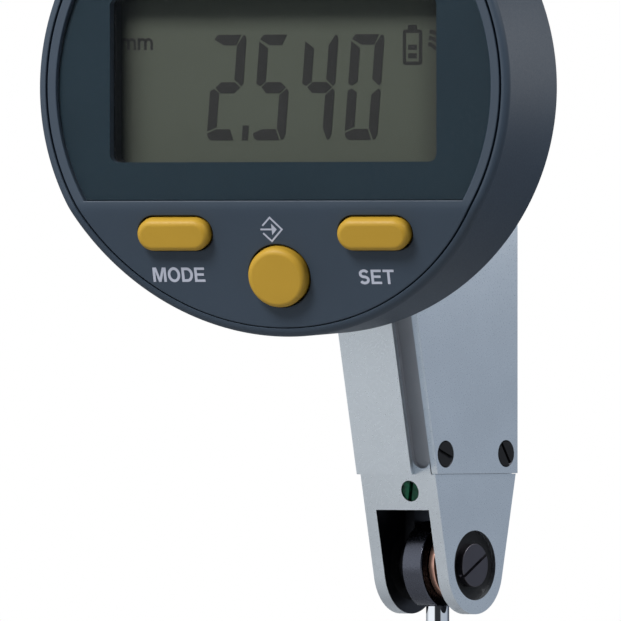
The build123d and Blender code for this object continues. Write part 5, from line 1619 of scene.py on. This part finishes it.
def studio_world(power):
    """White to the camera, and a band of light and dark fields for light and reflections."""
    world = bpy.data.worlds.new("studio")
    world.use_nodes = True
    nodes = world.node_tree.nodes
    place = made(nodes, "ShaderNodeTexCoord").outputs["Generated"]
    split = made(nodes, "ShaderNodeSeparateXYZ", {"Vector": place}).outputs
    turn = number(nodes, "ARCTAN2", split["Y"], split["X"])
    share = made(nodes, "ShaderNodeMapRange", {"Value": turn, "From Min": -pi, "From Max": pi})
    band = made(nodes, "ShaderNodeValToRGB", {"Fac": share.outputs["Result"]})
    band.color_ramp.interpolation = "EASE"
    marks = band.color_ramp.elements
    while len(marks) < len(STUDIO_BAND):
        marks.new(0.5)
    for mark, (angle, colour) in zip(marks, STUDIO_BAND):
        mark.position = (angle + 180) / 360
        mark.color = (*colour, 1)
    colour = band.outputs["Color"]
    for start, end, grey in (OVERHEAD, UNDERFOOT):
        values = {"Value": split["Z"], "From Min": start, "From Max": end}
        share = made(nodes, "ShaderNodeMapRange", values).outputs["Result"]
        colour = mixed(nodes, share, colour, (grey, grey, grey, 1))
    studio = nodes["Background"]
    feed(studio, {"Color": colour, "Strength": power})
    white = made(nodes, "ShaderNodeBackground", {"Color": (1, 1, 1, 1)})
    seen = made(nodes, "ShaderNodeLightPath").outputs["Is Camera Ray"]
    values = {"Fac": seen, 1: studio.outputs["Background"], 2: white.outputs["Background"]}
    feed(nodes["World Output"], {"Surface": made(nodes, "ShaderNodeMixShader", values).outputs["Shader"]})
    bpy.context.scene.world = world


class INDICATOR_OT_studio(bpy.types.Operator):
    """Set the camera, the floor, the lights and the world"""

    bl_idname = "indicator.studio"
    bl_label = "Studio"

    def execute(self, context):
        settings = context.scene.indicator_studio
        context.scene.view_settings.view_transform = "Standard"
        right = Vector((cos(settings.azimuth), sin(settings.azimuth), 0))
        towards = Vector((sin(settings.azimuth), -cos(settings.azimuth), 0))
        up = Vector((0, 0, 1))
        aim = (right * AIM_RIGHT + up * AIM_UP) * MM
        distance = (settings.half_width * settings.lens / (SENSOR / 2) + FOCUS_FORWARD) * MM
        lens = bpy.data.cameras.new("camera")
        lens.lens = settings.lens
        lens.sensor_width = SENSOR
        lens.clip_start = 0.1
        lens.clip_end = 20.0
        camera = bpy.data.objects.new("camera", lens)
        camera.location = aim + towards * distance
        camera.rotation_euler = (-towards).to_track_quat("-Z", "Y").to_euler()
        context.scene.collection.objects.link(camera)
        context.scene.camera = camera
        powers = settings.key_power, settings.rim_power
        for (name, (ahead, aside, above), size), power in zip(LAMPS, powers):
            place = (towards * ahead + right * aside + up * above) * MM
            area_light(name, place, aim, size * MM, power)
        place, target = (Vector(point) * MM for point in GLOW_LINE)
        area_light("glow", place, target, GLOW_SIZE * MM, GLOW_POWER)
        studio_world(settings.world_power)
        floor = link("floor", mesh_from("floor", lambda bm: bmesh.ops.create_circle(
            bm, cap_ends=True, segments=128, radius=FLOOR_RADIUS
        ), BODY @ Matrix.Translation((0, 0, FLOOR_Z))))
        grained("floor_paint", FLOOR_COLOUR, 0.7, 0.0, 200.0, 0.01, 0.01)
        floor.data.materials.append(MATERIALS["floor_paint"])
        return {"FINISHED"}


class INDICATOR_PT_panel(bpy.types.Panel):
    """Sidebar panel with the settings and the steps"""

    bl_idname = "INDICATOR_PT_panel"
    bl_label = "Test Indicator"
    bl_space_type = "VIEW_3D"
    bl_region_type = "UI"
    bl_category = "Test Indicator"

    def draw(self, context):
        for name, group in SETTINGS.items():
            box = self.layout.box()
            for setting in group.__annotations__:
                box.prop(getattr(context.scene, "indicator_" + name), setting)
        for operator in OPERATORS:
            self.layout.operator(operator.bl_idname)


OPERATORS = (
    INDICATOR_OT_finishes,
    INDICATOR_OT_metal_body,
    INDICATOR_OT_fasteners,
    INDICATOR_OT_stylus,
    INDICATOR_OT_head_shell,
    INDICATOR_OT_controls,
    INDICATOR_OT_display,
    INDICATOR_OT_lettering,
    INDICATOR_OT_studio,
)
SETTINGS = {
    "colours": INDICATOR_PG_colours,
    "display": INDICATOR_PG_display,
    "edges": INDICATOR_PG_edges,
    "studio": INDICATOR_PG_studio,
}


def register():
    for cls in (*SETTINGS.values(), *OPERATORS, INDICATOR_PT_panel):
        bpy.utils.register_class(cls)
    for name, group in SETTINGS.items():
        setattr(bpy.types.Scene, "indicator_" + name, bpy.props.PointerProperty(type=group))


def unregister():
    for name in SETTINGS:
        delattr(bpy.types.Scene, "indicator_" + name)
    for cls in reversed((*SETTINGS.values(), *OPERATORS, INDICATOR_PT_panel)):
        bpy.utils.unregister_class(cls)


def main():
    register()
    for operator in OPERATORS:
        getattr(bpy.ops.indicator, operator.bl_idname.split(".")[1])()


if __name__ == "__main__":
    main()
